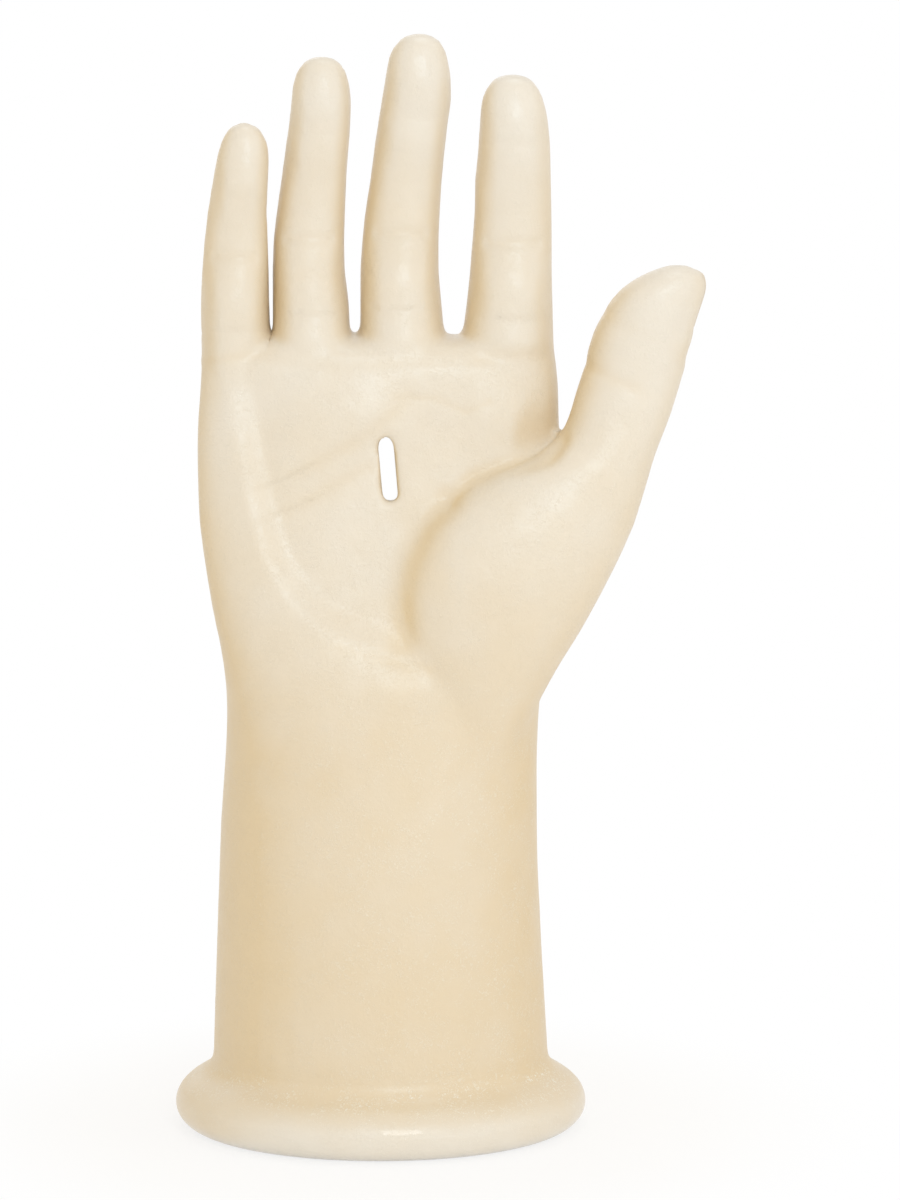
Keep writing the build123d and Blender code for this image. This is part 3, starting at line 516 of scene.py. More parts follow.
# ---- Relief --------------------------------------------------------------------------------------
class Relief:
    """Gathers how far each point of the skin moves along its normal, and the shade painted on it."""

    def __init__(self, skin):
        self.skin = skin
        self.points = mesh_rows(skin) / MM
        self.normals = mesh_rows(skin, "normal")
        self.push = np.zeros(len(self.points))
        self.tone = np.zeros(len(self.points))

    def facing(self, direction, low=0.05, high=0.6):
        """1 where the skin faces this way, fading to 0 round the sides."""
        return smooth_step(self.normals @ np.array(direction), low, high)

    def beside(self, line):
        """How far each point is from a line, how far to its left, and how far along it in runs."""
        places = self.points[:, (0, 2)]
        near, left, along = np.full((3, len(places)), 1e9)
        for number, (start, end) in enumerate(zip(line, line[1:])):
            run, offset = np.subtract(end, start), places - start
            share = np.clip(offset @ run / (run @ run), 0.0, 1.0)
            away = offset - share[:, None] * run
            distance = np.hypot(away[:, 0], away[:, 1])
            closer = distance < near
            side = np.sign(run[0] * offset[:, 1] - run[1] * offset[:, 0])
            near = np.where(closer, distance, near)
            left = np.where(closer, distance * side, left)
            along = np.where(closer, number + share, along)
        return near, left, along

    def crease(self, line, width, depth, shade, face):
        """A soft groove along a line of X and Z points, with its painted shade, if any, along it."""
        near, _, _ = self.beside(line)
        groove = np.exp(-((near / width) ** 2)) * face
        self.push -= depth * groove
        self.tone = np.maximum(self.tone, shade * groove)

    def terrace(self, edge, face, reach=None):
        """Raises the ground left of an edge, all of it or as far as it reaches."""
        edge = rounded(edge, EDGE_FINENESS)
        _, left, along = self.beside([point[:2] for point in edge])
        rise = np.interp(along, range(len(edge)), [point[2] for point in edge])
        slope = np.interp(along, range(len(edge)), [point[3] for point in edge])
        rise *= smooth_step(left / slope, -1.0, 1.0)
        if reach:
            rise *= 1.0 - smooth_step(left, *reach)
        self.push += rise * face

    def mound(self, centre, radii, height, shade, face):
        """A soft swelling, flatter across than along, or a hollow if its height is negative, with its
        painted shade, if any, over it.
        """
        across = (self.points[:, 0] - centre[0]) / radii[0]
        along = (self.points[:, 2] - centre[1]) / radii[1]
        swell = np.exp(-(across**4) - along**2) * face
        self.push += height * swell
        self.tone = np.maximum(self.tone, shade * swell)

    def nail(self, centre, up, out, half_width, half_length):
        """A nail plate in its groove, with painted shade in the groove: its centre, the way to its free edge
        and the way it faces.
        """
        up, out = Vector(up).normalized(), Vector(out).normalized()
        offset = self.points - np.array(centre)
        u = np.abs(offset @ np.array(up.cross(out)))
        v = offset @ np.array(up)
        beside, below = u - half_width, -v - half_length
        past_side = np.maximum(beside + NAIL_CORNER, 0.0)
        past_root = np.maximum(below + NAIL_CORNER, 0.0)
        outside = np.hypot(past_side, past_root) - NAIL_CORNER
        edge = np.maximum(outside, np.minimum(np.maximum(beside, below), 0.0))
        here = self.facing(out, 0.1, 0.4) * (np.abs(v) < half_length + NAIL_MARGIN)
        here = here * (u < half_width + NAIL_MARGIN) * (offset @ np.array(out) > -NAIL_DEPTH)
        plate = 1.0 - smooth_step(edge, -0.5, 0.3)
        plate *= smooth_step(v, -half_length, half_length + 1.0)
        groove = np.exp(-(((edge - 0.5) / NAIL_GROOVE_WIDTH) ** 2))
        groove *= 1.0 - smooth_step(v, half_length - 1.5, half_length + 0.5)
        self.push += here * (NAIL_RISE * plate - NAIL_GROOVE * groove)
        self.tone = np.maximum(self.tone, NAIL_SHADE * groove * here)

    def finish(self):
        """Moves the skin and stores its painted shading."""
        self.points += self.normals * self.push[:, None]
        self.skin.data.vertices.foreach_set("co", (self.points * MM).ravel())
        tone = self.skin.data.attributes.new("tone", "FLOAT", "POINT")
        tone.data.foreach_set("value", self.tone.astype(np.float32))
        self.skin.data.update()


def sculpt_finger(relief, finger, palm_side, back):
    """One finger's creases and pads in front, its knuckles, wrinkles, tendon and nail behind, with painted
    shade in the creases, wrinkles and nail groove.
    """
    root, up = joint_place(f"{finger}_knuckle")
    root, middle = root / MM, joint_place(f"{finger}_middle")[0] / MM
    top = FINGER_RINGS[finger][-1][0]
    heights, lefts, rights = zip(*FINGER_RINGS[finger])
    own = (relief.points[:, 2] > root.z - 2.0) * (relief.points[:, 0] > min(lefts) - 1.5)
    own = own * (relief.points[:, 0] < max(rights) + 1.5)

    def across(height):
        """X of the finger's centre line, and half its width."""
        left, right = np.interp(height, heights, lefts), np.interp(height, heights, rights)
        return (left + right) / 2, (right - left) / 2

    joints = (middle.z, middle.z + LAST_JOINT * (top - middle.z))
    front = palm_side * own
    for joint, (over, depth, shade, drop, pad) in zip(joints, FINGER_CREASES):
        height = joint + over
        x, half = across(height)
        line = [(x - half * 0.6, height), (x + half * 0.6, height)]
        relief.crease(line, 1.2, depth, shade, front)
        relief.mound((x, height - drop), (half * 0.8, 7.0), pad, 0.0, front)
    x, half = across(top - 11.0)
    drop, tall, swell = TIP_PAD
    relief.mound((x, top - drop), (half * 0.8, tall), swell, 0.0, front)
    for joint, (over, swell, wrinkles) in zip(joints, FINGER_KNUCKLES):
        height = joint + over
        x, half = across(height)
        relief.mound((x, height), (half * 0.9, 5.5), swell, 0.0, back * own)
        for number in range(wrinkles):
            rise = height + WRINKLE_GAP * (number - (wrinkles - 1) / 2)
            line = [(x - half * 0.45, rise), (x + half * 0.45, rise)]
            # Painted shade in each wrinkle.
            relief.crease(line, 0.8, 0.3, 0.2, back * own)
    x, _ = across(root.z - 3.0)
    drop, radii, swell = KNUCKLE_HEAD
    relief.mound((x, root.z - drop), radii, swell, 0.0, back)
    drop, foot, width, swell = TENDON
    relief.crease([(x * 0.9, root.z - drop), (x * 0.45, foot)], width, -swell, 0.0, back)
    x, half = across(top - 8.0)
    centre = (x, root.y - TIP_BOW[finger] + half * 0.8, top - NAIL_DROP)
    relief.nail(centre, up, (0.0, 1.0, 0.12), half * NAIL_SHARE, NAIL_HALF_LENGTH)


def sculpt_thumb(relief):
    """The thumb's creases, with painted shade in them, and its nail."""
    hinge = joint_place("thumb_joint")[0] / MM
    up = np.array(Vector(THUMB_UP).normalized())
    out = Vector(THUMB_OUT)
    nail_side = relief.facing(out)
    along = (relief.points - np.array(hinge)) @ up
    own = (relief.points[:, 0] > 47.0) * (relief.points[:, 2] > 80.0)
    sides = ((relief.facing(-out), THUMB_PAD_CREASES), (nail_side, THUMB_NAIL_CREASES))
    for face, creases in sides:
        for height, depth in creases:
            groove = np.exp(-(((along - height) / THUMB_CREASE_WIDTH) ** 2)) * face * own
            relief.push -= depth * groove
            # Painted shade in each crease, darker in the deeper ones.
            relief.tone = np.maximum(relief.tone, 0.6 * depth * groove)
    away = np.sum((relief.points - np.array(THUMB_FOLD)) ** 2, axis=1)
    relief.push += THUMB_FOLD_SWELL * np.exp(-away / THUMB_FOLD_SPREAD) * nail_side
    relief.nail(THUMB_NAIL, THUMB_NAIL_UP, out, *THUMB_NAIL_SIZE)


def sculpt_skin(skin):
    """Creases and pads of the palm side, with painted shade in the creases and hollows; knuckles, wrinkles,
    tendons and nails of the back; and the mark for the slot's painted light.
    """
    relief = Relief(skin)
    x, y, z = relief.points.T
    palm_side = relief.facing((0.0, -1.0, 0.0))
    back = relief.facing((0.0, 1.0, 0.0))
    broad = relief.facing((0.0, -1.0, 0.0), 0.0, 0.9)
    relief.terrace(HEEL_EDGE, broad * (smooth_step(z, *HEEL_FOOT) * (z < HEEL_TOP)))
    for edge in PAD_EDGES:
        relief.terrace(edge, broad, PAD_REACH)
    for line, width, depth, shade in PALM_CREASES:
        relief.crease(line, width, depth, shade, palm_side)
    for centre, radii, height, shade in PALM_MOUNDS:
        relief.mound(centre, radii, height, shade, palm_side)
    for finger in FINGERS:
        sculpt_finger(relief, finger, palm_side, back)
    sculpt_thumb(relief)
    # Marks the slot's wall, so that its colour is painted paler as painted light.
    inside = (np.abs(x - SLOT_CENTRE[0]) < SLOT_WALL[0]) * (np.abs(y) < SLOT_WALL[1])
    inside = inside * (np.abs(z - SLOT_CENTRE[1]) < SLOT_WALL[2])
    relief.tone = np.where(inside, TUNNEL_PAINTED_LIGHT_MARK, relief.tone)
    relief.finish()


# ---- Cuff, rim and slot --------------------------------------------------------------------------
def select_parts(piece, kind, chosen):
    """Opens a piece in edit mode, with just the chosen ones of its faces or edges selected."""
    set_active(piece)
    bpy.ops.object.mode_set(mode="EDIT")
    bpy.ops.mesh.select_mode(type=kind)
    bpy.ops.mesh.select_all(action="DESELECT")
    shape = bmesh.from_edit_mesh(piece.data)
    for part in shape.faces if kind == "FACE" else shape.edges:
        if chosen(part):
            part.select = True
    bmesh.update_edit_mesh(piece.data)


def cut_across(piece, point, normal, chosen, **clear):
    """Cuts a piece along a plane, in the faces whose centres are chosen."""
    select_parts(piece, "FACE", lambda face: chosen(face.calc_center_median()))
    bpy.ops.mesh.bisect(plane_co=point, plane_no=normal, **clear)
    bpy.ops.object.mode_set(mode="OBJECT")


def palm_size(height):
    """The palm's sides at a height, between the rings that are given."""
    heights, *sides, _ = zip(*PALM_RINGS)
    return [float(np.interp(height, heights, side)) for side in sides]


def rounded(points, fineness):
    """A smooth line through the points, from the second on, with this many steps to each."""
    points = np.array([*points, points[-1]])
    line = []
    for before, start, end, after in zip(points, points[1:], points[2:], points[3:]):
        for t in np.arange(1, fineness + 1) / fineness:
            bend = (2.0 * before - 5.0 * start + 4.0 * end - after) * t**2
            twist = (3.0 * start - before - 3.0 * end + after) * t**3
            line.append((start + 0.5 * ((end - before) * t + bend + twist)).tolist())
    return line


def roll_rim(skin):
    """Cuts the cuff open below and extrudes its edge out into the rolled rim and up inside."""
    foot = (0.0, 0.0, RIM_CUT * MM)
    near_foot = (RIM_CUT + 5.0) * MM
    cut_across(skin, foot, (0.0, 0.0, 1.0), lambda centre: centre.z < near_foot, clear_inner=True)
    left, right, front, back = palm_size(RIM_CUT)
    middle_x = (left + right) / 2
    store_turns(skin, middle_x * MM, (right - left) / 2 * MM, (back - front) / 2 * MM)
    select_parts(skin, "EDGE", lambda edge: edge.is_boundary)
    profile = rounded([(0.0, RIM_CUT + 1.0), (0.0, RIM_CUT), *RIM_PROFILE], RIM_FINENESS)
    rings = [
        (z, left - out, right + out, front - out, back + out, RIM_SQUARENESS) for out, z in profile
    ]
    for height in SOCKET_HEIGHTS:
        left, right, front, back = palm_size(height)
        inner = (left + GLOVE_WALL, right - GLOVE_WALL, front + GLOVE_WALL, back - GLOVE_WALL)
        rings.append((height, *inner, SOCKET_SQUARENESS))
    for ring in rings:
        bpy.ops.mesh.extrude_region_move()
        place_ring(skin, ring)
    bpy.ops.mesh.edge_face_add()
    bpy.ops.mesh.select_all(action="SELECT")
    bpy.ops.mesh.normals_make_consistent(inside=False)
    bpy.ops.object.mode_set(mode="OBJECT")
    skin.data.attributes.remove(skin.data.attributes["turn"])


def cut_slot(skin, settings):
    """Cuts the slot through the palm, with round corners and a floor that falls backwards."""
    low, high = (Vector(corner) for corner in OPENINGS["palm_slot"])
    size = Vector((settings.slot_width, SLOT_CUTTER * MM, settings.slot_height))
    bpy.ops.object.select_all(action="DESELECT")
    bpy.ops.mesh.primitive_cube_add(size=1.0)
    cutter = bpy.context.object
    for corner in cutter.data.vertices:
        corner.co *= size
        if corner.co.z < 0.0:
            corner.co.z -= corner.co.y * math.tan(settings.slot_fall)
        if corner.co.x < 0.0:
            corner.co.x -= corner.co.y * math.tan(settings.slot_flare)
    cutter.location = (low + high) / 2
    cutter.rotation_euler = (0.0, -settings.slot_tilt, 0.0)
    bpy.ops.object.transform_apply(location=True, rotation=True, scale=True)

    def runs_through(edge):
        """Whether an edge of the cutter runs through the palm."""
        return abs((edge.verts[0].co - edge.verts[1].co).y) > size.y / 2

    select_parts(cutter, "EDGE", runs_through)
    bpy.ops.mesh.bevel(offset=SLOT_CORNER * MM, segments=5)
    bpy.ops.object.mode_set(mode="OBJECT")
    apply_modifier(skin, "BOOLEAN", operation="DIFFERENCE", object=cutter, solver="EXACT")
    bpy.data.objects.remove(cutter)


# ---- Parting the skin at the hinges --------------------------------------------------------------
def keep_shading(skin):
    """Notes the whole skin's normals, so that the parted pieces are shaded as one."""
    whole = skin.data.attributes.new("whole_normal", "FLOAT_VECTOR", "POINT")
    whole.data.foreach_set("vector", mesh_rows(skin, "normal").astype(np.float32).ravel())


def share_shading(piece):
    """Gives a parted piece the whole skin's normals."""
    whole = piece.data.attributes["whole_normal"]
    rows = np.empty(len(piece.data.vertices) * 3, np.float32)
    whole.data.foreach_get("vector", rows)
    piece.data.attributes.remove(whole)
    piece.data.normals_split_custom_set_from_vertices(rows.reshape(-1, 3).tolist())


def take_off(skin, name, point, up, inside):
    """Parts what lies past a plane, within a region, off the skin as a piece of its own."""

    def lies_past(face):
        """Whether a face lies in the region and past the plane."""
        centre = face.calc_center_median()
        return inside(centre) and (centre - point).dot(up) > 0.0

    cut_across(skin, point, up, inside)
    select_parts(skin, "FACE", lies_past)
    before = set(bpy.data.objects)
    bpy.ops.mesh.separate(type="SELECTED")
    bpy.ops.object.mode_set(mode="OBJECT")
    piece = (set(bpy.data.objects) - before).pop()
    piece.name = name
    return piece


def dress(piece, material, node):
    """Finishes a piece of skin: its shading, material, slot and the node that it stands for."""
    piece.data.materials.clear()
    piece.data.materials.append(material)
    share_shading(piece)
    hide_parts(node)


def belongs(finger, centre):
    """Whether a face at this place is part of the finger and not of its neighbour."""
    heights, lefts, rights = zip(*FINGER_RINGS[finger])
    left = (min(lefts) - 1.0) * MM
    right = (max(rights) + 0.6) * MM
    if finger == "little":
        right = LITTLE_BORDER * MM
    if finger == "ring":
        left = LITTLE_BORDER * MM
    return left < centre.x < right and centre.z > (heights[1] - 2.0) * MM


def in_thumb(centre):
    """Whether a face at this place is part of the thumb."""
    return centre.x > THUMB_REGION[0] * MM and centre.z > THUMB_REGION[1] * MM


def part_skin(skin, material):
    """Parts the skin into palm, thumb and two lengths of each finger, which bend at the hinges."""
    keep_shading(skin)
    for finger in FINGERS:
        root, up = joint_place(f"{finger}_knuckle")
        middle, _ = joint_place(f"{finger}_middle")
        starts = [root + up * reach * MM for reach in KNUCKLE_BEND[finger]]
        ends = [middle + up * reach * MM for reach in MIDDLE_BEND[finger]]
        border = (starts[1] + ends[0]) / 2
        inside = partial(belongs, finger)
        tip = take_off(skin, f"{finger}_tip_skin", border, up, inside)
        base = take_off(skin, f"{finger}_base_skin", starts[0], up, inside)
        dress(base, material, f"{finger}_base_glove")
        dress(tip, material, f"{finger}_tip_glove")
        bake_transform(base, "palm", f"{finger}_base", *starts)
        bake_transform(tip, f"{finger}_base", f"{finger}_tip", *ends)
    root, up = joint_place("thumb_joint")
    start, end = (root + up * reach * MM for reach in THUMB_BEND)
    thumb = take_off(skin, "thumb_skin", start, up, in_thumb)
    dress(thumb, material, "thumb_tip_glove")
    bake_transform(thumb, "palm", "thumb_tip", start, end)
    dress(skin, material, "glove_palm")
    skin.name = "palm_skin"
    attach(skin, "palm")


# ---- Finishes ------------------------------------------------------------------------------------
class Value:
    """A node's output, with arithmetic that adds Math nodes."""

    def __init__(self, finish, socket):
        self.finish, self.socket = finish, socket

    def math(self, operation, first, second):
        """A Math node on two values or numbers."""
        return self.finish.node("ShaderNodeMath", {"operation": operation}, {0: first, 1: second})

    def __add__(self, other):
        return self.math("ADD", self, other)

    def __sub__(self, other):
        return self.math("SUBTRACT", self, other)

    def __rsub__(self, other):
        return self.math("SUBTRACT", other, self)

    def __mul__(self, other):
        return self.math("MULTIPLY", self, other)

    __radd__ = __add__
    __rmul__ = __mul__


class Finish:
    """A material and its node tree, with the object's place in millimetres at hand."""

    def __init__(self, name):
        self.material = bpy.data.materials.new(name)
        self.material.use_nodes = True
        self.tree = self.material.node_tree
        self.surface = self.tree.nodes["Principled BSDF"]
        place = self.node("ShaderNodeTexCoord", output="Object")
        scaled = {"operation": "SCALE"}
        self.place = self.node("ShaderNodeVectorMath", scaled, {0: place, "Scale": 1.0 / MM})

    def node(self, kind, settings=None, sockets=None, output=0):
        """Adds a node: first its settings, then the values or links of its sockets."""
        made = self.tree.nodes.new(kind)
        for name, value in (settings or {}).items():
            setattr(made, name, value)
        for name, value in (sockets or {}).items():
            self.feed(made.inputs[name], value)
        return Value(self, made.outputs[output])

    def feed(self, socket, value):
        """Links a value to a socket, or sets the socket to it."""
        if isinstance(value, Value):
            self.tree.links.new(value.socket, socket)
        else:
            socket.default_value = value

    def noise(self, size, detail=3.0, place=None, distortion=0.0):
        """Noise with features of this size in millimetres."""
        shape = {"Scale": 1.0 / size, "Detail": detail, "Distortion": distortion}
        return self.node("ShaderNodeTexNoise", None, {"Vector": place or self.place, **shape})

    def cells(self, size):
        """Distance to the nearest of scattered points this far apart in millimetres."""
        sockets = {"Vector": self.place, "Scale": 1.0 / size}
        return self.node("ShaderNodeTexVoronoi", None, sockets)

    def stretched(self, x, y, z):
        """The object's place, drawn out so that noise runs in streaks."""
        sockets = {0: self.place, 1: (x, y, z)}
        return self.node("ShaderNodeVectorMath", {"operation": "MULTIPLY"}, sockets)

    def ramp(self, value, stops):
        """A number that runs smoothly through (value, number) stops."""
        low, high = stops[0][0], stops[-1][0]
        sockets = {"Value": value, "From Min": low, "From Max": high}
        share = self.node("ShaderNodeMapRange", None, sockets)
        ramp = self.tree.nodes.new("ShaderNodeValToRGB")
        ramp.color_ramp.interpolation = "B_SPLINE"
        elements = ramp.color_ramp.elements
        for place, number in stops[1:-1]:
            elements.new((place - low) / (high - low)).color = (number, number, number, 1.0)
        for end, stop in ((0, stops[0]), (-1, stops[-1])):
            elements[end].color = (stop[1], stop[1], stop[1], 1.0)
        self.feed(ramp.inputs[0], share)
        return Value(self, ramp.outputs[0])

    def mix(self, factor, first, second):
        """Two colours mixed."""
        sockets = {0: factor, 6: first, 7: second}
        return self.node("ShaderNodeMix", {"data_type": "RGBA"}, sockets, 2)

    def along(self, axis):
        """The object's place along X, Y or Z."""
        return self.node("ShaderNodeSeparateXYZ", None, {0: self.place}, axis)

    def facing(self, axis):
        """How far the surface faces along X, Y or Z."""
        normal = self.node("ShaderNodeTexCoord", output="Normal")
        return self.node("ShaderNodeSeparateXYZ", None, {0: normal}, axis)

    def between(self, value, low, high):
        """A value's smooth rise from 0 at low to 1 at high."""
        sockets = {"Value": value, "From Min": low, "From Max": high}
        return self.node("ShaderNodeMapRange", {"interpolation_type": "SMOOTHSTEP"}, sockets)

    def bump(self, height, strength, distance, below=None):
        """Relief from a height, over an earlier relief if one is given."""
        sockets = {"Height": height, "Strength": strength, "Distance": distance}
        if below:
            sockets["Normal"] = below
        return self.node("ShaderNodeBump", None, sockets)

    def set(self, **sockets):
        """Sets or links the surface's sockets, with _ for a space in their names."""
        for name, value in sockets.items():
            self.feed(self.surface.inputs[name.replace("_", " ")], value)
        return self.material


def opaque(colour):
    """A colour with its alpha."""
    return (*colour, 1.0)


# How honey-coloured the skin is at heights in millimetres: honey where it is thick and paler towards the
# fingertips, with painted shade peaking at -88 where the cuff meets the rim, and painted light from the
# floor on the pale rim below -92.
WARMTH_BY_HEIGHT = [
    (-104.0, 0.0), (-96.0, 0.0), (-91.5, 0.62), (-88.0, 0.75), (-80.0, 0.66), (-20.0, 0.66),
    (0.0, 0.62), (20.0, 0.46), (45.0, 0.30), (85.0, 0.18), (104.0, 0.14), (118.0, 0.20),
    (138.0, 0.26), (156.0, 0.12), (176.0, 0.0),
]
THUMB_FADE = (55.0, 80.0)  # X over which the honey fades a little towards the thumb
# Painted shade in honey on the sides, more on the left than the right: how far they face to the left or
# right, from and to, and how much there.
SIDE_PAINTED_SHADE = ((-0.3, -1.0, 0.72), (0.4, 1.0, 0.3))
# The wrist grows leathery over these X and heights, and the cuff meets the rim between these.
LEATHERY_X, LEATHERY_Z = (-45.0, 15.0), (40.0, -10.0)
JOIN_TOP, JOIN_FOOT = (-84.0, -88.0), (-94.0, -91.0)
RIM_GLOSS = (-92.0, -96.0)  # heights over which the rim turns glossy
TUNNEL_PAINTED_LIGHT = (0.97, 0.91, 0.80, 1.0)  # painted light: the slot's wall, which little light reaches, painted paler
SHEEN_TINT = (0.5, 0.78, 1.0, 1.0)  # brings the ivory's gloss back to white


def skin_finish(settings):
    """Waxy ivory: honey where it is thick, painted shade in honey in creases, on the sides and where the
    cuff meets the rim, painted light on the rim and on the slot's wall, faint clouds, pores, pits and
    specks.
    """
    finish = Finish("ivory_skin")
    tone = finish.node("ShaderNodeAttribute", {"attribute_name": "tone"}, output="Fac")
    clouds = finish.noise(38.0, 2.0)
    patches = finish.noise(9.0, 4.0)
    height = finish.along(2)
    # Honey by height, with painted shade where the cuff meets the rim and painted light on the rim.
    honey_and_painted_shade = finish.ramp(height, WARMTH_BY_HEIGHT)
    # Painted shade: the creases, grooves and hollows marked on the skin turn the colour towards honey.
    honey_and_painted_shade = honey_and_painted_shade - finish.between(finish.along(0), *THUMB_FADE) * 0.15 + tone * 0.8
    # Painted shade: honey where the skin faces left or right.
    across = finish.facing(0)
    for low, high, amount in SIDE_PAINTED_SHADE:
        honey_and_painted_shade = honey_and_painted_shade + finish.between(across, low, high) * amount
    honey_and_painted_shade = honey_and_painted_shade + (finish.between(clouds, 0.38, 0.62) - 0.5) * 0.12 + (patches - 0.5) * 0.2
    colour = finish.mix(honey_and_painted_shade, opaque(settings.ivory), opaque(settings.honey))
    leathery = finish.between(finish.along(0), *LEATHERY_X) * finish.between(height, *LEATHERY_Z)
    join = finish.between(height, *JOIN_TOP) * finish.between(height, *JOIN_FOOT)
    strokes = finish.between(finish.noise(0.8, 4.0, distortion=1.6), 0.52, 0.68)
    strokes = strokes * finish.between(finish.noise(7.0), 0.30, 0.62)
    specks = strokes * (leathery * 0.32 + join * 0.6 + 0.08)
    colour = finish.mix(specks, colour, opaque(settings.speck))
    # Painted light: the slot's wall, which little light reaches, is painted paler.
    tunnel = finish.between(tone, 0.0, TUNNEL_PAINTED_LIGHT_MARK)
    colour = finish.mix(tunnel, colour, TUNNEL_PAINTED_LIGHT)
    rough = settings.sheen_roughness + (patches - 0.5) * 0.16 + tunnel * 0.6
    relief = finish.bump(finish.noise(0.8, 3.0), 0.22, 0.0003)
    relief = finish.bump(finish.noise(5.5, 4.0), 0.32, 0.0008, relief)
    relief = finish.bump(strokes, 0.3, 0.0003, relief)
    coat = (1.0 - tunnel) * settings.coat + finish.between(height, *RIM_GLOSS) * 0.4
    finish.set(Base_Color=colour, Roughness=rough, Normal=relief)
    finish.set(Specular_IOR_Level=0.95, Specular_Tint=SHEEN_TINT)
    return finish.set(Coat_Weight=coat, Coat_Roughness=0.07)


def foam_finish():
    """Soft moulded foam: a cream skin full of small cells."""
    finish = Finish("hand_foam")
    cells = finish.cells(1.3)
    clouds = finish.noise(12.0)
    shade = finish.between(cells, 0.2, 0.7) * 0.6 + clouds * 0.4
    colour = finish.mix(shade, (0.86, 0.76, 0.55, 1.0), (0.72, 0.60, 0.38, 1.0))
    relief = finish.bump(cells, 0.6, 0.0006)
    return finish.set(Base_Color=colour, Roughness=0.85 + clouds * 0.1, Normal=relief)


def metal_finish(name, light, dark, roughness, streak, grain):
    """Bare metal: streaks of turning or casting grain over a clouded tint."""
    finish = Finish(name)
    lines = finish.noise(0.35, 3.0, finish.stretched(*streak))
    clouds = finish.noise(7.0)
    colour = finish.mix(lines * 0.55 + clouds * 0.45, opaque(light), opaque(dark))
    relief = finish.bump(finish.noise(grain, 4.0), 0.35, 0.0003)
    rough = roughness + (lines - 0.5) * 0.2 + (clouds - 0.5) * 0.15
    return finish.set(Base_Color=colour, Roughness=rough, Metallic=1.0, Normal=relief)


def moulded_finish(name, light, dark, roughness, grain):
    """Moulded plastic or rubber: fine grain with a faint cloud in the colour."""
    finish = Finish(name)
    clouds = finish.noise(5.0, 4.0)
    colour = finish.mix(clouds, opaque(light), opaque(dark))
    relief = finish.bump(finish.noise(grain, 2.0), 0.4, 0.0002)
    return finish.set(Base_Color=colour, Roughness=roughness + (clouds - 0.5) * 0.15, Normal=relief)


# Metals, by slot: name, light and dark colour, roughness, stretch of the streaks, grain size.
METALS = {
    "cast": ("cast_alloy", (0.72, 0.73, 0.75), (0.60, 0.61, 0.63), 0.42, (1.0, 1.0, 1.0), 0.8),
    "steel": ("turned_steel", (0.70, 0.71, 0.73), (0.55, 0.56, 0.58), 0.28, (0.15, 0.15, 1.0), 0.5),
    "washer": ("stamped_brass", (0.80, 0.64, 0.34), (0.66, 0.50, 0.24), 0.34, (1.0, 0.2, 1.0), 0.6),
}
# Mouldings, by slot: name, light and dark colour, roughness, grain size.
MOULDINGS = {
    "plate": ("moulded_nylon", (0.30, 0.31, 0.33), (0.24, 0.25, 0.27), 0.5, 0.9),
    "rubber": ("moulded_rubber", (0.07, 0.07, 0.075), (0.045, 0.045, 0.05), 0.72, 0.6),
}


def inner_finishes():
    """The finishes of the pieces inside the skin, by slot."""
    finishes = {"foam": foam_finish()}
    finishes |= {slot: metal_finish(*given) for slot, given in METALS.items()}
    finishes |= {slot: moulded_finish(*given) for slot, given in MOULDINGS.items()}
    return finishes


# ---- Settings ------------------------------------------------------------------------------------
def length_prop(name, description, default, **limits):
    """A length in metres."""
    return bpy.props.FloatProperty(
        name=name, description=description, default=default, unit="LENGTH", **limits
    )


def angle_prop(name, description, degrees):
    """An angle, which defaults to this many degrees."""
    return bpy.props.FloatProperty(
        name=name, description=description, default=math.radians(degrees), subtype="ANGLE"
    )


def count_prop(name, description, default, least):
    """A number of rounds."""
    return bpy.props.IntProperty(name=name, description=description, default=default, min=least)


def share_prop(name, description, default):
    """A number from 0 to 1."""
    return bpy.props.FloatProperty(
        name=name, description=description, default=default, min=0.0, max=1.0, subtype="FACTOR"
    )


def colour_prop(name, description, default):
    """A colour."""
    return bpy.props.FloatVectorProperty(
        name=name, description=description, default=default, subtype="COLOR", size=3
    )


class HandSkinSettings(bpy.types.PropertyGroup):
    """Sizes and colours of the skin."""

    grain: length_prop("Mesh size", "Edge length of the skin's mesh", 0.00095, min=0.0005)
    softening: count_prop("Softening", "Rounds of smoothing that blend the limbs together", 12, 1)
    palm_softening: count_prop("Palm softening", "Further rounds on the palm's broad forms", 50, 0)
    slot_width: length_prop("Slot width", "Width of the slot through the palm", 0.0046)
    slot_height: length_prop("Slot height", "Height of the slot through the palm", 0.0195)
    slot_fall: angle_prop("Slot fall", "Slope of the slot's floor, down towards the back", 9.5)
    slot_flare: angle_prop("Slot flare", "How far the slot's left wall opens towards the back", 3.0)
    slot_tilt: angle_prop("Slot tilt", "Lean of the slot towards the little finger", 5.0)
    ivory: colour_prop("Ivory", "Main colour of the skin", (0.85, 0.785, 0.69))
    # Honey is also the colour of the painted shade in creases, on the sides and where the cuff meets the
    # rim.
    honey: colour_prop("Honey", "Colour of creases and of thick skin", (0.79, 0.625, 0.39))
    speck: colour_prop("Specks", "Colour of the moulding specks", (0.95, 0.89, 0.77))
    sheen_roughness: share_prop("Roughness", "Roughness of the waxy surface", 0.4)
    coat: share_prop("Gloss", "Weight of the smoother coat over the surface", 0.04)


class HandStageSettings(bpy.types.PropertyGroup):
    """Camera and light."""

    distance: length_prop("Distance", "Camera to hand", 1.4)
    elevation: angle_prop("Elevation", "Height of the camera over the level", 9.0)
    lens: bpy.props.FloatProperty(
        name="Lens", description="Focal length", default=161.2, unit="CAMERA"
    )
    key: bpy.props.FloatProperty(
        name="Key light", description="Power of the large front light", default=2.4, unit="POWER"
    )
    fill: bpy.props.FloatProperty(
        name="Fill", description="Strength of the light from all round", default=0.745, min=0.0
    )
    paper: share_prop("Paper white", "How much of the floor by the hand shows as plain white", 0.78)


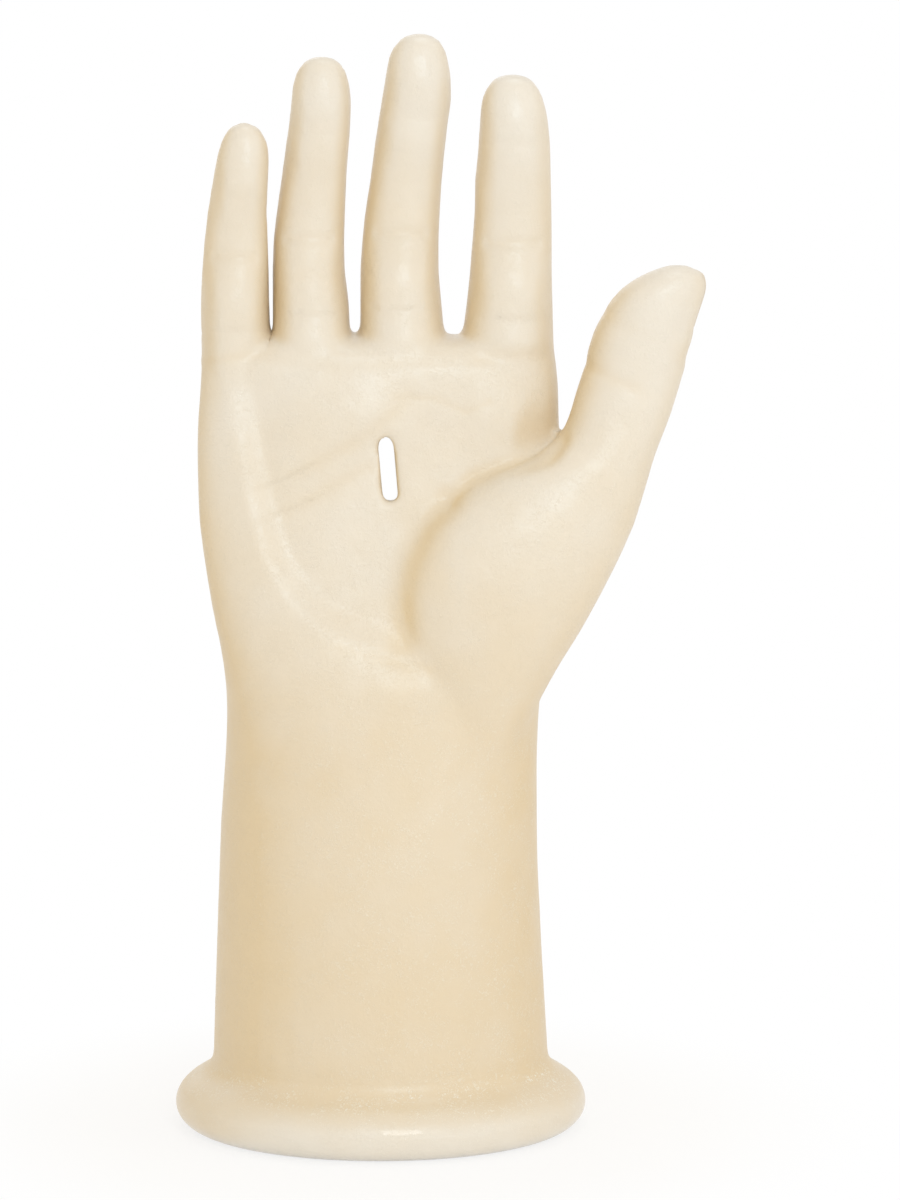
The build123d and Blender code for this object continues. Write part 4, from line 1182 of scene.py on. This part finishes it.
# ---- Stage ---------------------------------------------------------------------------------------
CAMERA_AIM = Vector((0.0182, 0.0, 0.036))
LAMP_AIM = Vector((0.0, 0.0, 0.04))
# Lamps: place, size and share of the key light's power.
LAMPS = {
    "key": ((0.2, -1.05, 0.5), (0.36, 0.36), 1.0),
    "right": ((0.95, -0.35, 0.35), (0.6, 0.6), 0.2),
    "left": ((-0.95, -0.45, 0.3), (0.6, 0.6), 0.07),
    "front": ((0.62, -1.15, -0.04), (1.0, 0.015), 0.28),
    "rear": ((-0.4, 1.2, 0.5), (0.8, 0.8), 0.3),
    "overhead": ((0.12, 0.05, 1.15), (0.6, 0.4), 0.6),
}
FLOOR_SIZE = 6.0
SHADOW_REACH = (64.0, 140.0)  # the hand's shadow fades out between these distances on the floor
FILL_COLOUR = (1.0, 0.94, 0.83, 1.0)
WHITE = (1.0, 1.0, 1.0, 1.0)


def area_light(name, place, size, power):
    """A soft rectangular light that looks at the hand."""
    light = bpy.data.lights.new(name, "AREA")
    light.shape = "RECTANGLE"
    light.size, light.size_y = size
    light.energy = power
    lamp = bpy.data.objects.new(name, light)
    lamp.location = place
    lamp.rotation_euler = (LAMP_AIM - Vector(place)).to_track_quat("-Z", "Y").to_euler()
    bpy.context.scene.collection.objects.link(lamp)


def seen_directly(tree):
    """A node socket that is 1 for what the camera, a reflection or a glass sees of a surface."""
    path = tree.nodes.new("ShaderNodeLightPath")
    seen = path.outputs["Is Camera Ray"]
    for name in ("Is Glossy Ray", "Is Transmission Ray"):
        either = tree.nodes.new("ShaderNodeMath")
        either.operation = "MAXIMUM"
        tree.links.new(seen, either.inputs[0])
        tree.links.new(path.outputs[name], either.inputs[1])
        seen = either.outputs[0]
    return seen


def paper_finish(white):
    """White paper that keeps the hand's shadow, and is plain white to the camera elsewhere."""
    finish = Finish("paper")
    finish.set(Base_Color=WHITE, Roughness=0.9, Specular_IOR_Level=0.1)
    glow = finish.node("ShaderNodeEmission", None, {"Color": WHITE, "Strength": 1.0})
    measure = {"operation": "LENGTH"}
    distance = finish.node("ShaderNodeVectorMath", measure, {0: finish.place}, "Value")
    near = 1.0 - finish.between(distance, *SHADOW_REACH)
    share = Value(finish, seen_directly(finish.tree)) * (1.0 - near * (1.0 - white))
    surface = Value(finish, finish.surface.outputs[0])
    mixed = finish.node("ShaderNodeMixShader", None, {0: share, 1: surface, 2: glow})
    finish.feed(finish.tree.nodes["Material Output"].inputs["Surface"], mixed)
    return finish.material


def set_world(scene, fill):
    """A plain world: soft light from all round, and white where it is seen."""
    world = bpy.data.worlds.new("studio")
    scene.world = world
    world.use_nodes = True
    tree = world.node_tree
    light = tree.nodes["Background"]
    light.inputs["Color"].default_value = FILL_COLOUR
    light.inputs["Strength"].default_value = fill
    white = tree.nodes.new("ShaderNodeBackground")
    white.inputs["Color"].default_value = WHITE
    mixed = tree.nodes.new("ShaderNodeMixShader")
    tree.links.new(seen_directly(tree), mixed.inputs[0])
    tree.links.new(light.outputs[0], mixed.inputs[1])
    tree.links.new(white.outputs[0], mixed.inputs[2])
    tree.links.new(mixed.outputs[0], tree.nodes["World Output"].inputs["Surface"])


def set_camera(scene, settings):
    """A camera that looks at the palm from a little above."""
    camera = bpy.data.cameras.new("camera")
    camera.lens = settings.lens
    holder = bpy.data.objects.new("camera", camera)
    out = Vector((0.0, -math.cos(settings.elevation), math.sin(settings.elevation)))
    holder.location = CAMERA_AIM + out * settings.distance
    holder.rotation_euler = out.to_track_quat("Z", "Y").to_euler()
    scene.collection.objects.link(holder)
    scene.camera = holder


# ---- Operators -----------------------------------------------------------------------------------
class HAND_OT_skin(bpy.types.Operator):
    """Models the whole skin with its rim and slot, then parts it at the hinges"""

    bl_idname = "hand.skin"
    bl_label = "Skin"

    def execute(self, context):
        settings = context.scene.hand_skin
        skin = build_skin(settings)
        sculpt_skin(skin)
        roll_rim(skin)
        part_skin(skin, skin_finish(settings))
        return {"FINISHED"}


class HAND_OT_inner_finishes(bpy.types.Operator):
    """Gives the pieces inside the skin their finishes"""

    bl_idname = "hand.inner_finishes"
    bl_label = "Inner finishes"

    def execute(self, context):
        finishes = inner_finishes()
        for name, node in frame["nodes"].items():
            if SLOTS[name] in finishes:
                node.data.materials.clear()
                node.data.materials.append(finishes[SLOTS[name]])
        return {"FINISHED"}


class HAND_OT_stage(bpy.types.Operator):
    """Sets the floor, the lights and the camera"""

    bl_idname = "hand.stage"
    bl_label = "Studio"

    def execute(self, context):
        settings = context.scene.hand_stage
        bpy.ops.object.select_all(action="DESELECT")
        bpy.ops.mesh.primitive_plane_add(size=FLOOR_SIZE, location=(0.0, 0.0, CAD_BOX[0].z))
        floor = context.object
        floor.name = "floor"
        floor.data.materials.append(paper_finish(settings.paper))
        set_world(context.scene, settings.fill)
        for name, (place, size, part) in LAMPS.items():
            area_light(name, place, size, settings.key * part)
        set_camera(context.scene, settings)
        context.scene.view_settings.view_transform = "Standard"
        return {"FINISHED"}


class HAND_PT_panel(bpy.types.Panel):
    """Lists the hand's operators and settings"""

    bl_idname = "HAND_PT_panel"
    bl_label = "Prosthetic hand"
    bl_space_type = "VIEW_3D"
    bl_region_type = "UI"
    bl_category = "Hand"

    def draw(self, context):
        for operator in STEPS:
            self.layout.operator(operator.bl_idname)
        for group in (context.scene.hand_skin, context.scene.hand_stage):
            box = self.layout.box()
            for name in group.__annotations__:
                box.prop(group, name)


STEPS = (HAND_OT_skin, HAND_OT_inner_finishes, HAND_OT_stage)
CLASSES = (HandSkinSettings, HandStageSettings, *STEPS, HAND_PT_panel)


def register():
    """Registers the classes and the settings."""
    for kind in CLASSES:
        bpy.utils.register_class(kind)
    bpy.types.Scene.hand_skin = bpy.props.PointerProperty(type=HandSkinSettings)
    bpy.types.Scene.hand_stage = bpy.props.PointerProperty(type=HandStageSettings)


def unregister():
    """Takes the settings and the classes away again."""
    del bpy.types.Scene.hand_stage
    del bpy.types.Scene.hand_skin
    for kind in reversed(CLASSES):
        bpy.utils.unregister_class(kind)


def main():
    """Makes everything in order."""
    register()
    bpy.ops.hand.skin()
    bpy.ops.hand.inner_finishes()
    bpy.ops.hand.stage()


if __name__ == "__main__":
    main()
